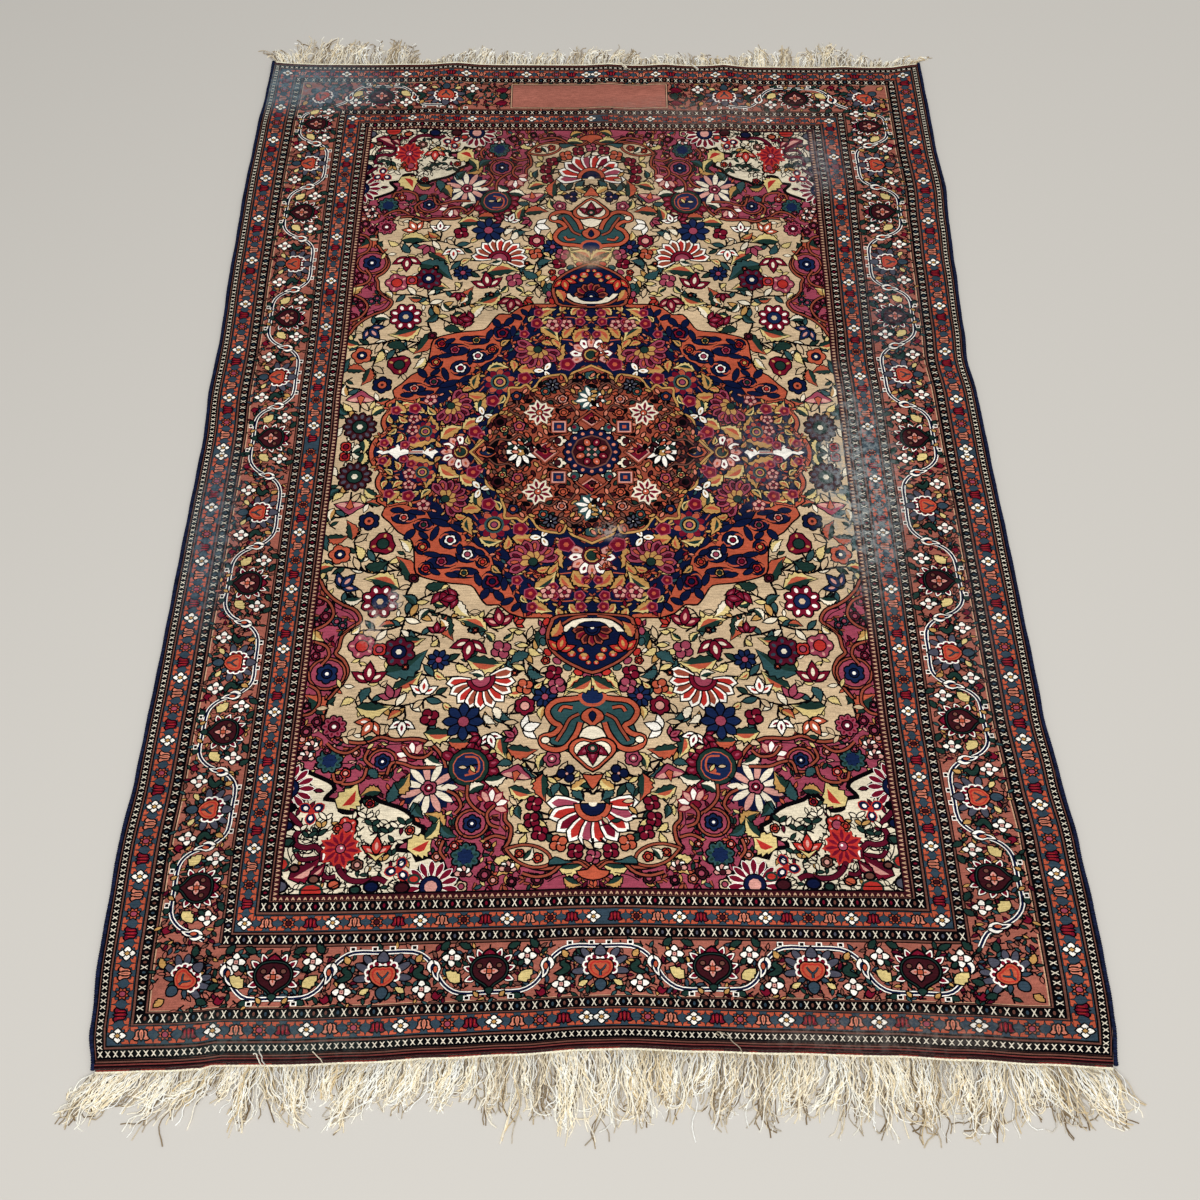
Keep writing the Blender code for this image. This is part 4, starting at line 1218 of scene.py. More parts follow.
def beige_flowers(pen, way_x):
    """Stems, leaves and flowers of the pale ground."""
    chance = random.Random(31)
    rose = smooth(ROSE_LINE, False, 1) + [(660, 200), (200, 200)]
    jewel = MEDALLION_LINE[:-1] + [(604, 560), (660, 556), (660, 980)]
    places = scattered(
        226, 262, 655, 972, 54.0, lambda x, y: not within(rose, x, y) and not within(jewel, x, y)
    )
    sprigs(pen, places, 13.0, ["yellow", "green", "ivory", "beige", "beige"], "ink", 9)
    for path in BEIGE_STEMS:
        line = pen.stroke(path, 4.2, "ink", 3.0)
        gone, side = 4.0, 1.0
        for start, end in zip(line, line[1:]):
            gone += math.dist(start, end)
            if gone > 13.0:
                gone, side = 0.0, -side
                turn = math.degrees(math.atan2(end[1] - start[1], end[0] - start[0])) - 90.0
                turn += side * chance.uniform(34, 56)
                long = chance.uniform(14.0, 23.0)
                leaf = pen.at(start[0], start[1], turn, -side * long, long)
                add_shape([leaf.place(*point) for point in grow(LENS, 1.35 * OUTLINE / long)], "ink")
                leaf.fill(LENS, chance.choice(["beige", "beige", "yellow", "green", "ivory", "gold",
                                               "teal"]), 0)
    for x0, y0, x1, y1, dark, light in BEIGE_LEAVES:
        toothed = light if light != "gold" else "yellow"
        pair_leaf(pen, x0, y0, x1, y1, 0.46, dark, toothed, "orange" if light in ("gold", "orange") else None)
    for kind, x, y, size, turn, yarns in BEIGE_FLOWERS:
        if x >= MIDDLE[0] and way_x > 0.0:
            continue
        here = pen.at(min(x, MIDDLE[0]), y, turn)
        size *= BEIGE_SIZES.get(kind, 1.0)
        if kind == "fan":
            fan(here, size, 10, yarns, "navy" if size > 60 else "rose", "orange" if size > 60 else "crimson",
                206.0)
        elif kind == "corn":
            petal_flower(here, size, 8, "blue", "rose")
        elif kind == "tre":
            trefoil(here, size, yarns[0])
        elif kind == "round":
            round_flower(here, size, *yarns)
        elif kind == "tulip":
            tulip(here, size, *yarns)
        else:
            lotus(here, size)


def pendant_arabesque(pen):
    """The orange and green arabesque on the middle line, with its pendant flower; drawn once for each end."""
    pen = pen.at(MIDDLE[0], 0.0)
    green = [(0, 524), (30, 520), (58, 516), (68, 500), (60, 480), (66, 462), (60, 448), (44, 446), (34, 456),
             (24, 470), (10, 486), (0, 488)]
    pen.blob(green + [(-x, y) for x, y in reversed(green[1:-1])], "teal", 1.6)
    for way in (-1.0, 1.0):
        lined(pen, [(0, 532), (way * 22, 522), (way * 54, 518), (way * 68, 502), (way * 60, 484),
                    (way * 48, 476), (way * 58, 464), (way * 76, 458), (way * 72, 444), (way * 54, 438),
                    (way * 38, 444), (way * 24, 464), (way * 18, 482)], 7.0, "orange", 1.5, 3)
        lined(pen, [(way * 30, 506), (way * 44, 508), (way * 50, 500)], 4.4, "orange", 1.2)
        lined(pen, [(way * 20, 496), (way * 34, 488), (way * 42, 472), (way * 54, 452)], 4.0, "rust", 1.2)
        pen.oval(way * 70, 454, 6, 5, "ivory", 1.4, 8)
    pen.blob([(0, 506), (14, 498), (16, 488), (8, 482), (0, 476), (-8, 482), (-16, 488),
              (-14, 498)], "orange", 1.5)
    pen.blob([(0, 500), (5, 494), (0, 484), (-5, 494)], "navy", 1.0)
    pen.blob([(0, 540), (14, 532), (16, 522), (8, 514), (-8, 514), (-16, 522), (-14, 532)], "blue", 3.2,
             "orange")
    pen.blob([(0, 476), (14, 470), (20, 452), (0, 450), (-20, 452), (-14, 470)], "ivory", 1.5)
    diamond = [(0, 404), (18, 418), (34, 436), (30, 450), (16, 456), (0, 452), (-16, 456), (-30, 450),
               (-34, 436), (-18, 418)]
    pen.blob(diamond, "orange", 1.8)
    pen.blob([(0.78 * x, 431 + 0.80 * (y - 431)) for x, y in diamond], "ivory", 1.2)
    tulip(pen.at(0, 436, 180), 21, "crimson", "rose")
    pen.at(0, 440).fill(lobed(10, 8, count=10), "crimson", 1.2)
    pen.at(0, 440).fill(lobed(7, 6, count=9), "green", 1.0)
    pen.at(0, 440).fill(lobed(3, 3, count=6), "pink", 0)
    pen.blob([(0, 376), (8, 388), (14, 398), (0, 396), (-14, 398), (-8, 388)], "orange", 1.5)


def pendant(pen):
    """The navy pendant that hangs from the medallion on the middle line; drawn once for each end."""
    pen = pen.at(MIDDLE[0], 0.0)
    drop = [(0, 563), (22, 572), (46, 586), (66, 606), (72, 630), (66, 652), (56, 664), (0, 668)]
    outline = drop + [(-x, y) for x, y in reversed(drop[1:-1])]
    line = smooth(drop, False, 3)
    gone, kind = 6.0, 0
    for (x, y), (on_x, on_y) in zip(line, line[1:]):
        gone += math.dist((x, y), (on_x, on_y))
        if gone > 12.0 and y < 650.0:
            gone, kind = 0.0, kind + 1
            along = math.atan2(on_y - y, on_x - x)
            for way in (-1.0, 1.0):
                leaf = pen.at(way * (x + 6.0 * math.sin(along)), y - 6.0 * math.cos(along),
                              way * (math.degrees(along) - 90.0))
                leaf.fill(petal_points(13, 9, 0, 0.5), ("teal", "rose", "red")[kind % 3], 1.2)
    pen.blob(outline, "rust", 1.6)
    pen.blob([(x * 0.91, 625 + (y - 625) * 0.90) for x, y in outline], "navy", 1.2)
    fan(pen.at(0, 642), 31, 7, ("maroon", "crimson"), "navy", "navy", 190.0, "rust")
    wing = [(0, 655), (12, 654), (21, 650), (27, 643), (33, 645), (40, 636), (50, 636), (42, 646), (30, 655),
            (16, 659)]
    pen.fill(wing + [(-x, y) for x, y in reversed(wing[1:])], "ivory", 1.2)
    for x, y, size in ((13, 592, 8.0), (32, 597, 6.5), (18, 604, 5.0), (6, 582, 4.0)):
        for way in (-1.0, 1.0):
            pen.at(way * x, y).fill(lobed(size, 0.8 * size, count=9), "red", 0.8)
            pen.at(way * x, y + 0.4 * size).fill(lobed(0.7 * size, 0.45 * size, count=7), "gold", 0)
            pen.at(way * x, y - 0.25 * size).fill(lobed(0.4 * size, 0.3 * size, count=6), "pink", 0)
    for way in (-1.0, 1.0):
        tulip(pen.at(way * 49, 610, way * 14.0), 20, "red", "gold")
        pair_leaf(pen, way * -0.4, 556, way * 34, 536, 0.46, "green", "yellow", "orange")
        lined(pen, [(way * 8, 664), (way * 30, 660), (way * 46, 650), (way * 56, 640)], 3.6, "rust", 1.0)
        pair_leaf(pen, way * 62, 628, way * 50, 652, 0.5, "gold", "orange")


# ---------------------------------------------------------------- medallion
# Kind, x, y, size, turn
NAVY_RING = [
    ("palm", 424, 886, 38, -60), ("palm", 562, 770, 42, 20), ("half", 430, 976, 34, -90),
    ("half", 660, 764, 38, 0), ("dark", 500, 832, 27, 0), ("dark", 376, 935, 20, 90),
    ("small", 461, 935, 11, 0), ("small", 489, 872, 11, 0), ("small", 543, 824, 12, 0),
    ("small", 618, 794, 13, 0), ("small", 308, 958, 7, 0), ("small", 343, 962, 7, 0),
    ("small", 356, 952, 7, 0), ("small", 324, 892, 8, 0), ("small", 356, 888, 10, 0),
    ("small", 540, 728, 8, 0), ("small", 562, 704, 10, 0), ("small", 640, 700, 8, 0),
    ("small", 650, 728, 7, 0), ("small", 565, 680, 8, 0), ("small", 642, 680, 8, 0),
    ("small", 598, 716, 7, 0), ("small", 472, 944, 6, 0), ("small", 600, 700, 6, 0),
    ("blossom", 382, 870, 11, 0), ("blossom", 590, 706, 12, 0), ("blossom", 616, 706, 11, 0),
    ("blossom", 354, 932, 10, 0), ("blossom", 355, 910, 9, 0),
]
# Stem end x, y, tip x, y
GOLD_LEAVES = [
    (312, 946, 320, 962), (326, 930, 314, 940), (336, 940, 330, 956), (344, 916, 330, 906),
    (318, 918, 312, 904), (352, 962, 392, 952), (404, 948, 436, 926), (402, 920, 420, 912),
    (440, 928, 470, 912), (396, 934, 384, 906), (330, 890, 350, 878), (372, 896, 358, 882),
    (392, 900, 378, 886), (470, 898, 474, 862), (476, 862, 444, 858), (436, 850, 454, 846),
    (456, 846, 462, 816), (478, 806, 510, 800), (520, 786, 524, 808), (532, 806, 570, 808),
    (508, 860, 500, 878), (524, 842, 536, 832), (604, 786, 610, 754), (590, 740, 604, 758),
    (570, 714, 600, 738), (610, 736, 628, 714), (630, 744, 652, 716), (566, 690, 592, 672),
    (570, 702, 596, 696), (624, 684, 640, 668), (636, 690, 650, 674), (548, 700, 556, 688),
    (572, 746, 590, 752), (500, 754, 512, 742), (530, 750, 546, 740), (452, 960, 448, 946),
    (476, 948, 464, 962), (404, 966, 396, 956), (340, 896, 324, 876), (604, 676, 618, 660),
]
# Round navy cells of the arabesque: x, y, half width, half height, flower, eye
ARABESQUE_CELLS = [
    (352, 846, 17, 10, "pink", "red"), (430, 803, 15, 14, "white", "crimson"),
    (459, 776, 16, 13, "white", "rose"), (418, 763, 22, 11, "rose", "crimson"),
    (501, 726, 15, 17, "crimson", "navy"), (386, 790, 10, 12, "red", "gold"),
    (394, 750, 10, 10, "red", "crimson"), (455, 742, 20, 8, "gold", "green"),
    (385, 832, 14, 10, "rose", "green"), (484, 762, 9, 10, "orange", "red"),
]
# x, y, half length, half width, turn
NAVY_DROPS = [
    (412, 836, 15, 4, 70), (440, 826, 12, 3.4, 60), (404, 816, 12, 3.4, -20), (476, 800, 12, 4, 40),
    (446, 786, 8, 3, 0), (364, 814, 10, 4, -40), (402, 776, 12, 3, 80), (436, 738, 9, 3, 80),
    (478, 730, 10, 3.4, 20), (490, 704, 9, 4, -30), (512, 700, 10, 4, 40), (520, 722, 10, 3.4, 0),
    (526, 690, 9, 3.4, -60), (340, 860, 9, 3.4, 90), (372, 856, 12, 3, 80), (478, 780, 8, 3, 60),
    (508, 748, 8, 3.2, 30), (408, 744, 8, 2.8, 60), (540, 680, 8, 3, -40), (386, 812, 8, 3, 50),
]

# Places of the small sprigs of the navy ring
RING_PLACES = scattered(
    290, 640, 660, 976, 21.0,
    lambda x, y: within(MEDALLION_LINE + [(660, 976)], x, y) and not within(INNER_LINE + [(660, 976)], x, y)
    and not within(ARABESQUE_LINE + MEDALLION_LINE[-4:8:-1], x, y),
)


def ring_flower(pen, kind, size):
    """One flower of the medallion's navy ring."""
    if kind == "palm":
        for index in range(9):
            petal = pen.at(0, -0.2 * size, -96 + 24 * index)
            petal.fill(petal_points(size, 0.40 * size, 0.2 * size, 0.72), "rose", 1.3)
            petal.oval(0, 0.70 * size, 0.07 * size, 0.16 * size, "orange" if index % 2 else "wine", 0.8, 6)
        for index in range(5):
            petal = pen.at(0, -0.2 * size, -80 + 40 * index)
            petal.fill(petal_points(0.50 * size, 0.26 * size, 0.05 * size, 0.7), "gold", 1.1, "wine")
        pen.at(0, -0.2 * size).fill(lobed(0.17 * size, count=8), "green", 1.0)
    elif kind == "half":
        for index in range(9):
            petal = pen.at(0, 0.25 * size, 180 - 112 + 28 * index)
            petal.fill(petal_points(size, 0.36 * size, 0.3 * size, 0.7), "white" if index % 2 else "pink",
                       1.2, "wine")
            petal.oval(0, 0.72 * size, 0.07 * size, 0.12 * size, "crimson" if index % 2 else "orange", 0, 6)
        here = pen.at(0, 0.25 * size)
        for share, yarn in ((0.44, "wine"), (0.34, "gold"), (0.23, "green")):
            here.fill(lobed(share * size, count=10), yarn, 0.8)
    elif kind == "dark":
        for index in range(10):
            petal = pen.at(0, 0, 36 * index)
            petal.fill(petal_points(size, 0.46 * size, 0.3 * size, 0.6), "orange" if index % 2 else "crimson",
                       1.0, "navy")
        for share, yarn in ((0.62, "teal"), (0.48, "ink"), (0.38, "gold"), (0.26, "navy"), (0.17, "rose")):
            pen.fill(lobed(share * size, count=11), yarn, 0)
    elif kind == "blossom":
        for index in range(5):
            pen.at(0, 0, 72 * index).fill(petal_points(size, 0.7 * size, 0.1 * size, 0.66), "pink", 1.2,
                                          "wine")
        pen.fill(lobed(0.34 * size, count=6), "crimson", 0.8)
    else:
        pen.fill(lobed(size, size, 5, 0.26, 15), "crimson", 1.1, "rose")
        pen.fill(lobed(0.36 * size, count=6), "orange", 0)


def spear(pen):
    """The white spear at a side tip of the medallion."""
    half = [(296, MIDDLE[1]), (306, 981), (317, 978), (325, 985), (331, 991), (336, 984), (350, 979),
            (376, 979), (385, 984), (391, 990), (394, 981), (400, MIDDLE[1])]
    outline = half + [(x, 2 * MIDDLE[1] - y) for x, y in reversed(half[1:-1])]
    pen.fill(outline, "white", 1.2, "navy")
    lined(pen, [(350, 976), (374, 976)], 2.4, "pink", 0.6, 1)


def medallion(pens):
    """Every ground, outline and flower of the medallion."""
    whole_ground(MEDALLION_LINE, "orange", 1.8)
    whole_ground(MEDALLION_LINE, "ink", 0.0, "ink", -6.2)
    whole_ground(MEDALLION_LINE, "navy", 0.0, "ink", -7.6)
    for way_x, way_y, pen in pens:
        arabesque_corner(pen)
    for way_x, way_y, pen in pens:
        lined(pen, [(322, 868), (344, 874), (372, 876), (394, 892), (404, 920), (402, 946), (394, 962)], 3.6,
              "orange", 1.2)
        lined(pen, [(318, 900), (330, 888), (352, 880)], 3.4, "orange", 1.1)
        for path in [[(312, 946), (326, 936), (340, 940)], [(330, 900), (352, 908), (378, 910)],
                     [(402, 906), (440, 922), (468, 906)], [(474, 912), (472, 880), (450, 856)],
                     [(502, 800), (540, 808), (580, 808)], [(546, 742), (588, 738), (628, 742)],
                     [(604, 740), (610, 770), (602, 800)], [(570, 700), (606, 690), (640, 692)],
                     [(474, 840), (458, 866), (466, 890)]]:
            pen.stroke(path, 2.0, "orange")
        sprigs(pen, RING_PLACES, 9.0, ["gold", "orange", "crimson", "gold", "teal", "peach"], "rust", 14)
        for x0, y0, x1, y1 in GOLD_LEAVES:
            pair_leaf(pen, x0, y0, x1, y1, 0.48, "gold", "yellow" if (x0 + y0) % 4 < 2 else "gold",
                      "green" if (x0 + y1) % 3 == 0 else "orange")
        for kind, x, y, size, turn in NAVY_RING:
            if (y == MIDDLE[1] and way_y > 0.0) or (x == MIDDLE[0] and way_x > 0.0):
                continue
            ring_flower(pen.at(x, y, turn), kind, size)
        if way_y < 0.0:
            spear(pen)
        for x, y, turn in ((474, 902, 10), (578, 808, 60)):
            for index in range(3):
                pen.at(x, y, turn + 120 * index + 30).fill(petal_points(19, 9.5, 2, 0.55), "white", 1.2)
                pen.at(x, y, turn + 120 * index + 30).fill(petal_points(13, 3.2, 5, 0.5), "gold", 0)
    inner_medallion(pens)


def arabesque_corner(pen):
    """One orange corner of the medallion, with its navy openings and scrolls."""
    line = smooth(ARABESQUE_LINE, False, 2)
    outer = smooth(MEDALLION_LINE[8:-3], False, 2)
    pen.fill(line + list(reversed(outer)), "orange", 1.2)
    for x, y, rx, ry, flower, eye in ARABESQUE_CELLS:
        rx, ry = 1.14 * rx, 1.16 * ry
        pen.at(x, y).fill(lobed(rx, ry, count=12), "navy", 1.2)
        for way in (-1.0, 1.0):
            curl = [(x + way * rx, y - way * 0.2 * ry), (x + way * 0.6 * rx, y - way * 0.66 * ry),
                    (x, y - way * 0.5 * ry), (x - way * 0.2 * rx, y + way * 0.1 * ry)]
            pen.stroke(curl, 3.6, "orange", 1.8)
        round_flower(pen.at(x, y, 20), 0.46 * min(rx, ry) + 2.2, 5, flower, eye)
    for x, y, long, half, turn in NAVY_DROPS:
        pen.at(x, y, turn).fill(petal_points(1.15 * long, 3.0 * half, -1.15 * long, 0.5), "navy", 1.0)


def inner_medallion(pens):
    """The rust heart of the medallion: scalloped gold line, scrolls, lattice and centre rosette."""
    whole_ground(INNER_LINE, "ink", 0.0, "ink", 4.4)
    whole_ground(INNER_LINE, "gold", 0.0, "ink", 3.2)
    whole_ground(INNER_LINE, "ink", 0.0, "ink", -0.6)
    whole_ground(INNER_LINE, "rust", 0.0, "ink", -1.8)
    chance = random.Random(11)
    places = []
    for _ in range(2500):
        x, y = chance.uniform(470, 660), chance.uniform(812, 976)
        inside = math.hypot((660 - x) / 186, (976 - y) / 160) < 1.0 and math.hypot(660 - x, 976 - y) > 60
        if inside and all(math.hypot(x - a, y - b) > 8.8 for a, b in places):
            places.append((x, y))
    for way_x, way_y, pen in pens:
        for number, (x, y) in enumerate(places):
            turn = (number * 77) % 360
            yarn = ("orange", "maroon", "peach", "gold", "ink", "orange", "brown", "green")[number % 8]
            pen.at(x, y, turn).fill(petal_points(6.0, 5.4, -5, 0.5), yarn, 1.3)
        for path in [[(486, 962), (500, 950), (520, 952), (536, 940), (548, 950)],
                     [(496, 920), (512, 932), (532, 924), (552, 930)],
                     [(526, 860), (532, 880), (520, 892), (538, 904)],
                     [(560, 862), (572, 876), (590, 868), (604, 880)],
                     [(600, 832), (612, 846), (630, 834), (644, 842)], [(604, 888), (622, 880), (632, 892)]]:
            lined(pen, path, 2.4, "brown", 1.0)
        daisy(pen.at(570, 896, 10), 22, 9, "crimson", "orange", "ivory")
        daisy(pen.at(592, 838, 0), 13, 7, "grey", "ink", "ink")
        for x, y, size, yarn in ((536, 924, 10, "rose"), (530, 862, 9, "blue"), (503, 916, 11, "maroon"),
                                 (580, 852, 8, "teal"), (510, 930, 6, "yellow"), (610, 868, 8, "pink"),
                                 (640, 822, 6, "navy"), (612, 896, 8, "orange")):
            round_flower(pen.at(x, y, 15), size, 5, yarn, "ink" if yarn == "maroon" else "orange")
        if way_y < 0.0:
            daisy(pen.at(540, 976, 90, 1.0, 1.0), 31, 9, "white", "gold", "ink")
            pen.at(484, 976, 90).fill(petal_points(20, 22, -14, 0.45), "orange", 1.5)
            pen.at(484, 976, 90).fill(petal_points(13, 14, -10, 0.45), "blue", 1.2)
            pen.at(486, 976).fill(lobed(4, count=7), "gold", 0)
            diamond(pen, 581, 976, 21, 20)
        if way_x < 0.0:
            daisy(pen.at(660, 868, 0), 27, 9, "white", "gold", "teal")
            pen.at(660, 818).fill(lobed(12, 9, 5, 0.2), "teal", 1.5)
            pen.at(660, 822).fill(lobed(5, 4, count=7), "yellow", 0)
            diamond(pen, 660, 908, 19, 15)
        lattice(pen)
    centre_rosette(Pen(lambda x, y: (x, y)))


def diamond(pen, x, y, wide, high):
    """A red diamond with a pale line."""
    for share, yarn in ((1.28, "ink"), (1.2, "rust"), (1.0, "pink"), (0.84, "ink"), (0.76, "crimson")):
        pen.at(x, y).fill([(wide * share, 0), (0, high * share), (-wide * share, 0),
                           (0, -high * share)], yarn, 0)
    pen.at(x, y).fill(lobed(3.4, 3.4, count=6), "ink", 0.8, "orange")


def lattice(pen):
    """The squares, corner stars and straps round the centre rosette."""
    lined(pen, [(588, 946), (620, 940), (636, 912), (660, 892)], 3.0, "rust", 1.0, 1)
    for share, yarn in ((14.5, "ink"), (13.5, "rust"), (11.5, "pink"), (9.0, "ink"), (8.2, "blue"),
                        (3.4, "orange")):
        pen.at(604, 925).fill([(share, share * 0.95), (-share, share * 0.95), (-share, -share * 0.95),
                               (share, -share * 0.95)], yarn, 0)
    pen.at(632, 930).fill(lobed(13, 12, 4, 0.5, 16), "ivory", 1.4)
    pen.at(632, 928).fill(lobed(7, 7, count=8), "teal", 1.2)
    pen.at(630, 926).fill(lobed(4, 4, count=6), "crimson", 0)
    pen.at(606, 954).fill(lobed(12, 10, 4, 0.5, 16), "ivory", 1.4)
    pen.at(602, 954).fill(lobed(5, 6, count=7), "maroon", 1.0)


def centre_rosette(pen):
    """The round rosette at the middle of the rug."""
    pen = pen.at(0.0, 0.0, 0.0, 1.0, 0.96)
    pen.fill(lobed(49, 49, 16, 0.10), "navy", 1.6)
    for index in range(16):
        pen.at(0, 0, 22.5 * index).oval(0, 41, 3.4, 3.6, "peach", 0, 6)
    pen.fill(lobed(33, 33, 8, 0.08, 24), "maroon", 1.6, "brown")
    for index in range(8):
        petal = pen.at(0, 0, 45 * index + 22.5)
        petal.fill(petal_points(29, 11, 12, 0.6), "crimson" if index % 2 else "orange", 1.3)
        petal.oval(0, 22, 2.0, 2.6, "pink", 0, 6)
    pen.fill(lobed(14, 14, 8, 0.2), "teal", 1.4)
    for turn in (45, 135, 225, 315):
        pen.at(0, 0, turn).fill(petal_points(12, 6, 2, 0.6), "pink", 1.0)
    pen.fill(lobed(4, 4, count=8), "green", 1.0)


def field():
    """The field's grounds, flowers and medallion."""
    pens = list(quarter_pens())
    for _, _, pen in pens:
        rose_grounds(pen)
    for way_x, _, pen in pens:
        rose_flowers(pen)
        ivory_corner(pen)
        beige_flowers(pen, way_x)
    for way_x, _, pen in pens:
        if way_x < 0.0:
            lower_edge(pen)
            pendant_arabesque(pen)
    medallion(pens)
    for way_x, _, pen in pens:
        if way_x < 0.0:
            pendant(pen)


def lower_edge(pen):
    """The pointed motif and the two cartouches against the end of the field."""
    pen = pen.at(MIDDLE[0], 0.0)
    for way in (-1.0, 1.0):
        cartouche_line = [(-124, 286), (-100, 292), (-78, 288), (-62, 276), (-62, 262), (-84, 258),
                          (-108, 268), (-124, 286)]
        pen.blob([(way * -x, y) for x, y in cartouche_line[:-1]], "beige", 1.6)
        lined(pen, [(way * -x, y) for x, y in cartouche_line], 3.0, "rust", 1.1)
        round_flower(pen.at(way * 104, 279), 6, 4, "red", "orange")
        round_flower(pen.at(way * 78, 272), 7, 5, "red", "orange")
        pair_leaf(pen, way * 96, 270, way * 86, 284, 0.5, "green", "ivory")
        lined(pen, [(0, 250), (way * 12, 258), (way * 22, 264), (way * 52, 262), (way * 62, 266)], 3.0,
              "rust", 1.2)
        pen.blob([(way * 62, 262), (way * 54, 272), (way * 40, 266), (way * 30, 264)], "teal", 1.2)
    pen.blob([(0, 238), (16, 242), (22, 250), (8, 252), (0, 260), (-8, 252), (-22, 250),
              (-16, 242)], "orange", 1.5)


# ---------------------------------------------------------------- from shapes to meshes
def colour_of(yarn):
    """A yarn's colour, as stored in the mesh."""
    return tuple(channel / 255.0 for channel in YARN[yarn]) + (1.0,)


def grid_points():
    """Extra points that let the flat mesh follow the wandering edges and the ripples."""
    points = [(x, y) for x in range(-660, 661, 30) for y in range(-955, 600, 30)]
    points += [(x + 3, y + 2) for x in range(-660, 661, 12) for y in range(600, 960, 24)]
    return points


def painted(middles, field_shapes):
    """The yarn at each point: its stripe's, or the last shape's that covers it.

    The first field_shapes shapes belong to the field, and are cut off at its edge.
    """
    yarns = stripe_yarns(middles)
    order, starts, rows = cells_of(middles)
    in_field = ~outside(middles, FIELD_DEPTH)
    for number, (outline, yarn) in enumerate(SHAPES):
        x, y = np.array(outline).T
        low_x, high_x = int((x.min() + REACH_X) / CELL), int((x.max() + REACH_X) / CELL)
        low_y, high_y = int((y.min() + REACH_Y) / CELL), int((y.max() + REACH_Y) / CELL)
        found = np.concatenate([
            order[starts[column * rows + low_y]:starts[column * rows + high_y + 1]]
            for column in range(low_x, high_x + 1)
        ])
        if number < field_shapes:
            found = found[in_field[found]]
        if len(found):
            yarns[found[turns_round(middles[found], x, y) != 0]] = yarn
    return yarns


def turns_round(points, x, y):
    """How often an outline turns round each point."""
    next_x, next_y = np.roll(x, -1), np.roll(y, -1)
    if len(points) * len(x) < 40000:
        at_x, at_y = points[:, 0, None], points[:, 1, None]
        rise = np.where(next_y == y, 1.0, next_y - y)
        across = ((y > at_y) != (next_y > at_y)) & (at_x < (next_x - x) * (at_y - y) / rise + x)
        return (across * np.sign(next_y - y)).sum(1)
    turns = np.zeros(len(points), int)
    order = np.argsort(points[:, 1])
    heights = points[order, 1]
    for x0, y0, x1, y1 in zip(x, y, next_x, next_y):
        low, high = np.searchsorted(heights, (min(y0, y1), max(y0, y1)))
        near = order[low:high]
        if len(near):
            near = near[points[near, 0] < x0 + (x1 - x0) * (points[near, 1] - y0) / (y1 - y0)]
            turns[near] += 1 if y1 > y0 else -1
    return turns


CELL = 8.0          # side of a sorting cell, and how far the cells reach from the middle
REACH_X = 720.0
REACH_Y = 1010.0
BAND_DEPTHS = (233.4, 159.0, 77.0)      # lines where one piece of pile meets the next
CUT_X = 669.0       # the pile stops here, inside the overcast cords


def cells_of(points):
    """Points sorted by square cell: their order, where each cell starts, and cells in a column."""
    rows = int(2.0 * REACH_Y / CELL) + 2
    columns = int(2.0 * REACH_X / CELL) + 2
    column = ((points[:, 0] + REACH_X) / CELL).astype(int)
    cell = column * rows + ((points[:, 1] + REACH_Y) / CELL).astype(int)
    order = np.argsort(cell, kind="stable")
    return order, np.searchsorted(cell[order], np.arange(rows * columns + 1)), rows


def triangles(places, edges):
    """The mesh of points and edges in the plane: points, and triangles."""
    made, _, faces, _, _, _ = delaunay_2d_cdt(places, edges, [], 0, 1e-5, False)
    return np.array([tuple(point) for point in made]), np.array(faces)


def thinned(flat, lines):
    """Drop the points that hardly bend a line; points where lines meet stay."""
    spent = np.zeros(len(flat))
    for _ in range(9):
        ends = np.concatenate([lines, lines[:, ::-1]])
        ends = ends[np.argsort(ends[:, 0], kind="stable")]
        here = np.flatnonzero(np.bincount(ends[:, 0], minlength=len(flat)) == 2)
        first = np.searchsorted(ends[:, 0], here)
        before, after = ends[first, 1], ends[first + 1, 1]
        base, aside = flat[after] - flat[before], flat[here] - flat[before]
        long = np.hypot(base[:, 0], base[:, 1])
        area = np.abs(base[:, 0] * aside[:, 1] - base[:, 1] * aside[:, 0])
        bent = area / np.maximum(long, 1e-9) + spent[here]
        loose = (bent < SLACK) & (long < LONGEST_EDGE) & (before != after)
        rank = np.full(len(flat), np.inf)
        rank[here[loose]] = bent[loose] + 1e-7 * here[loose]
        chosen = loose & (rank[here] < rank[before]) & (rank[here] < rank[after])
        gone = np.zeros(len(flat), bool)
        gone[here[chosen]] = True
        np.maximum.at(spent, before[chosen], bent[chosen])
        np.maximum.at(spent, after[chosen], bent[chosen])
        lines = np.concatenate([lines[~gone[lines].any(1)], np.stack([before[chosen], after[chosen]], 1)])
    return lines


def add_ring(line, places, edges):
    """Add a closed line to the points and edges."""
    first = len(places)
    places += [Vector(point) for point in line]
    edges += [(first + index, first + (index + 1) % len(line)) for index in range(len(line))]


def yarn_edges(flat, faces, yarns):
    """The edges with a different yarn on each side, and the outer edge."""
    sides = np.sort(np.concatenate([faces[:, [0, 1]], faces[:, [1, 2]], faces[:, [2, 0]]]), 1)
    side_yarns = np.tile(yarns, 3)
    code = sides[:, 0] * len(flat) + sides[:, 1]
    order = np.argsort(code, kind="stable")
    code, side_yarns, sides = code[order], side_yarns[order], sides[order]
    double = np.flatnonzero(code[1:] == code[:-1])
    alone = np.ones(len(code), bool)
    alone[double] = alone[double + 1] = False
    return np.concatenate([sides[alone], sides[double[side_yarns[double] != side_yarns[double + 1]]]])


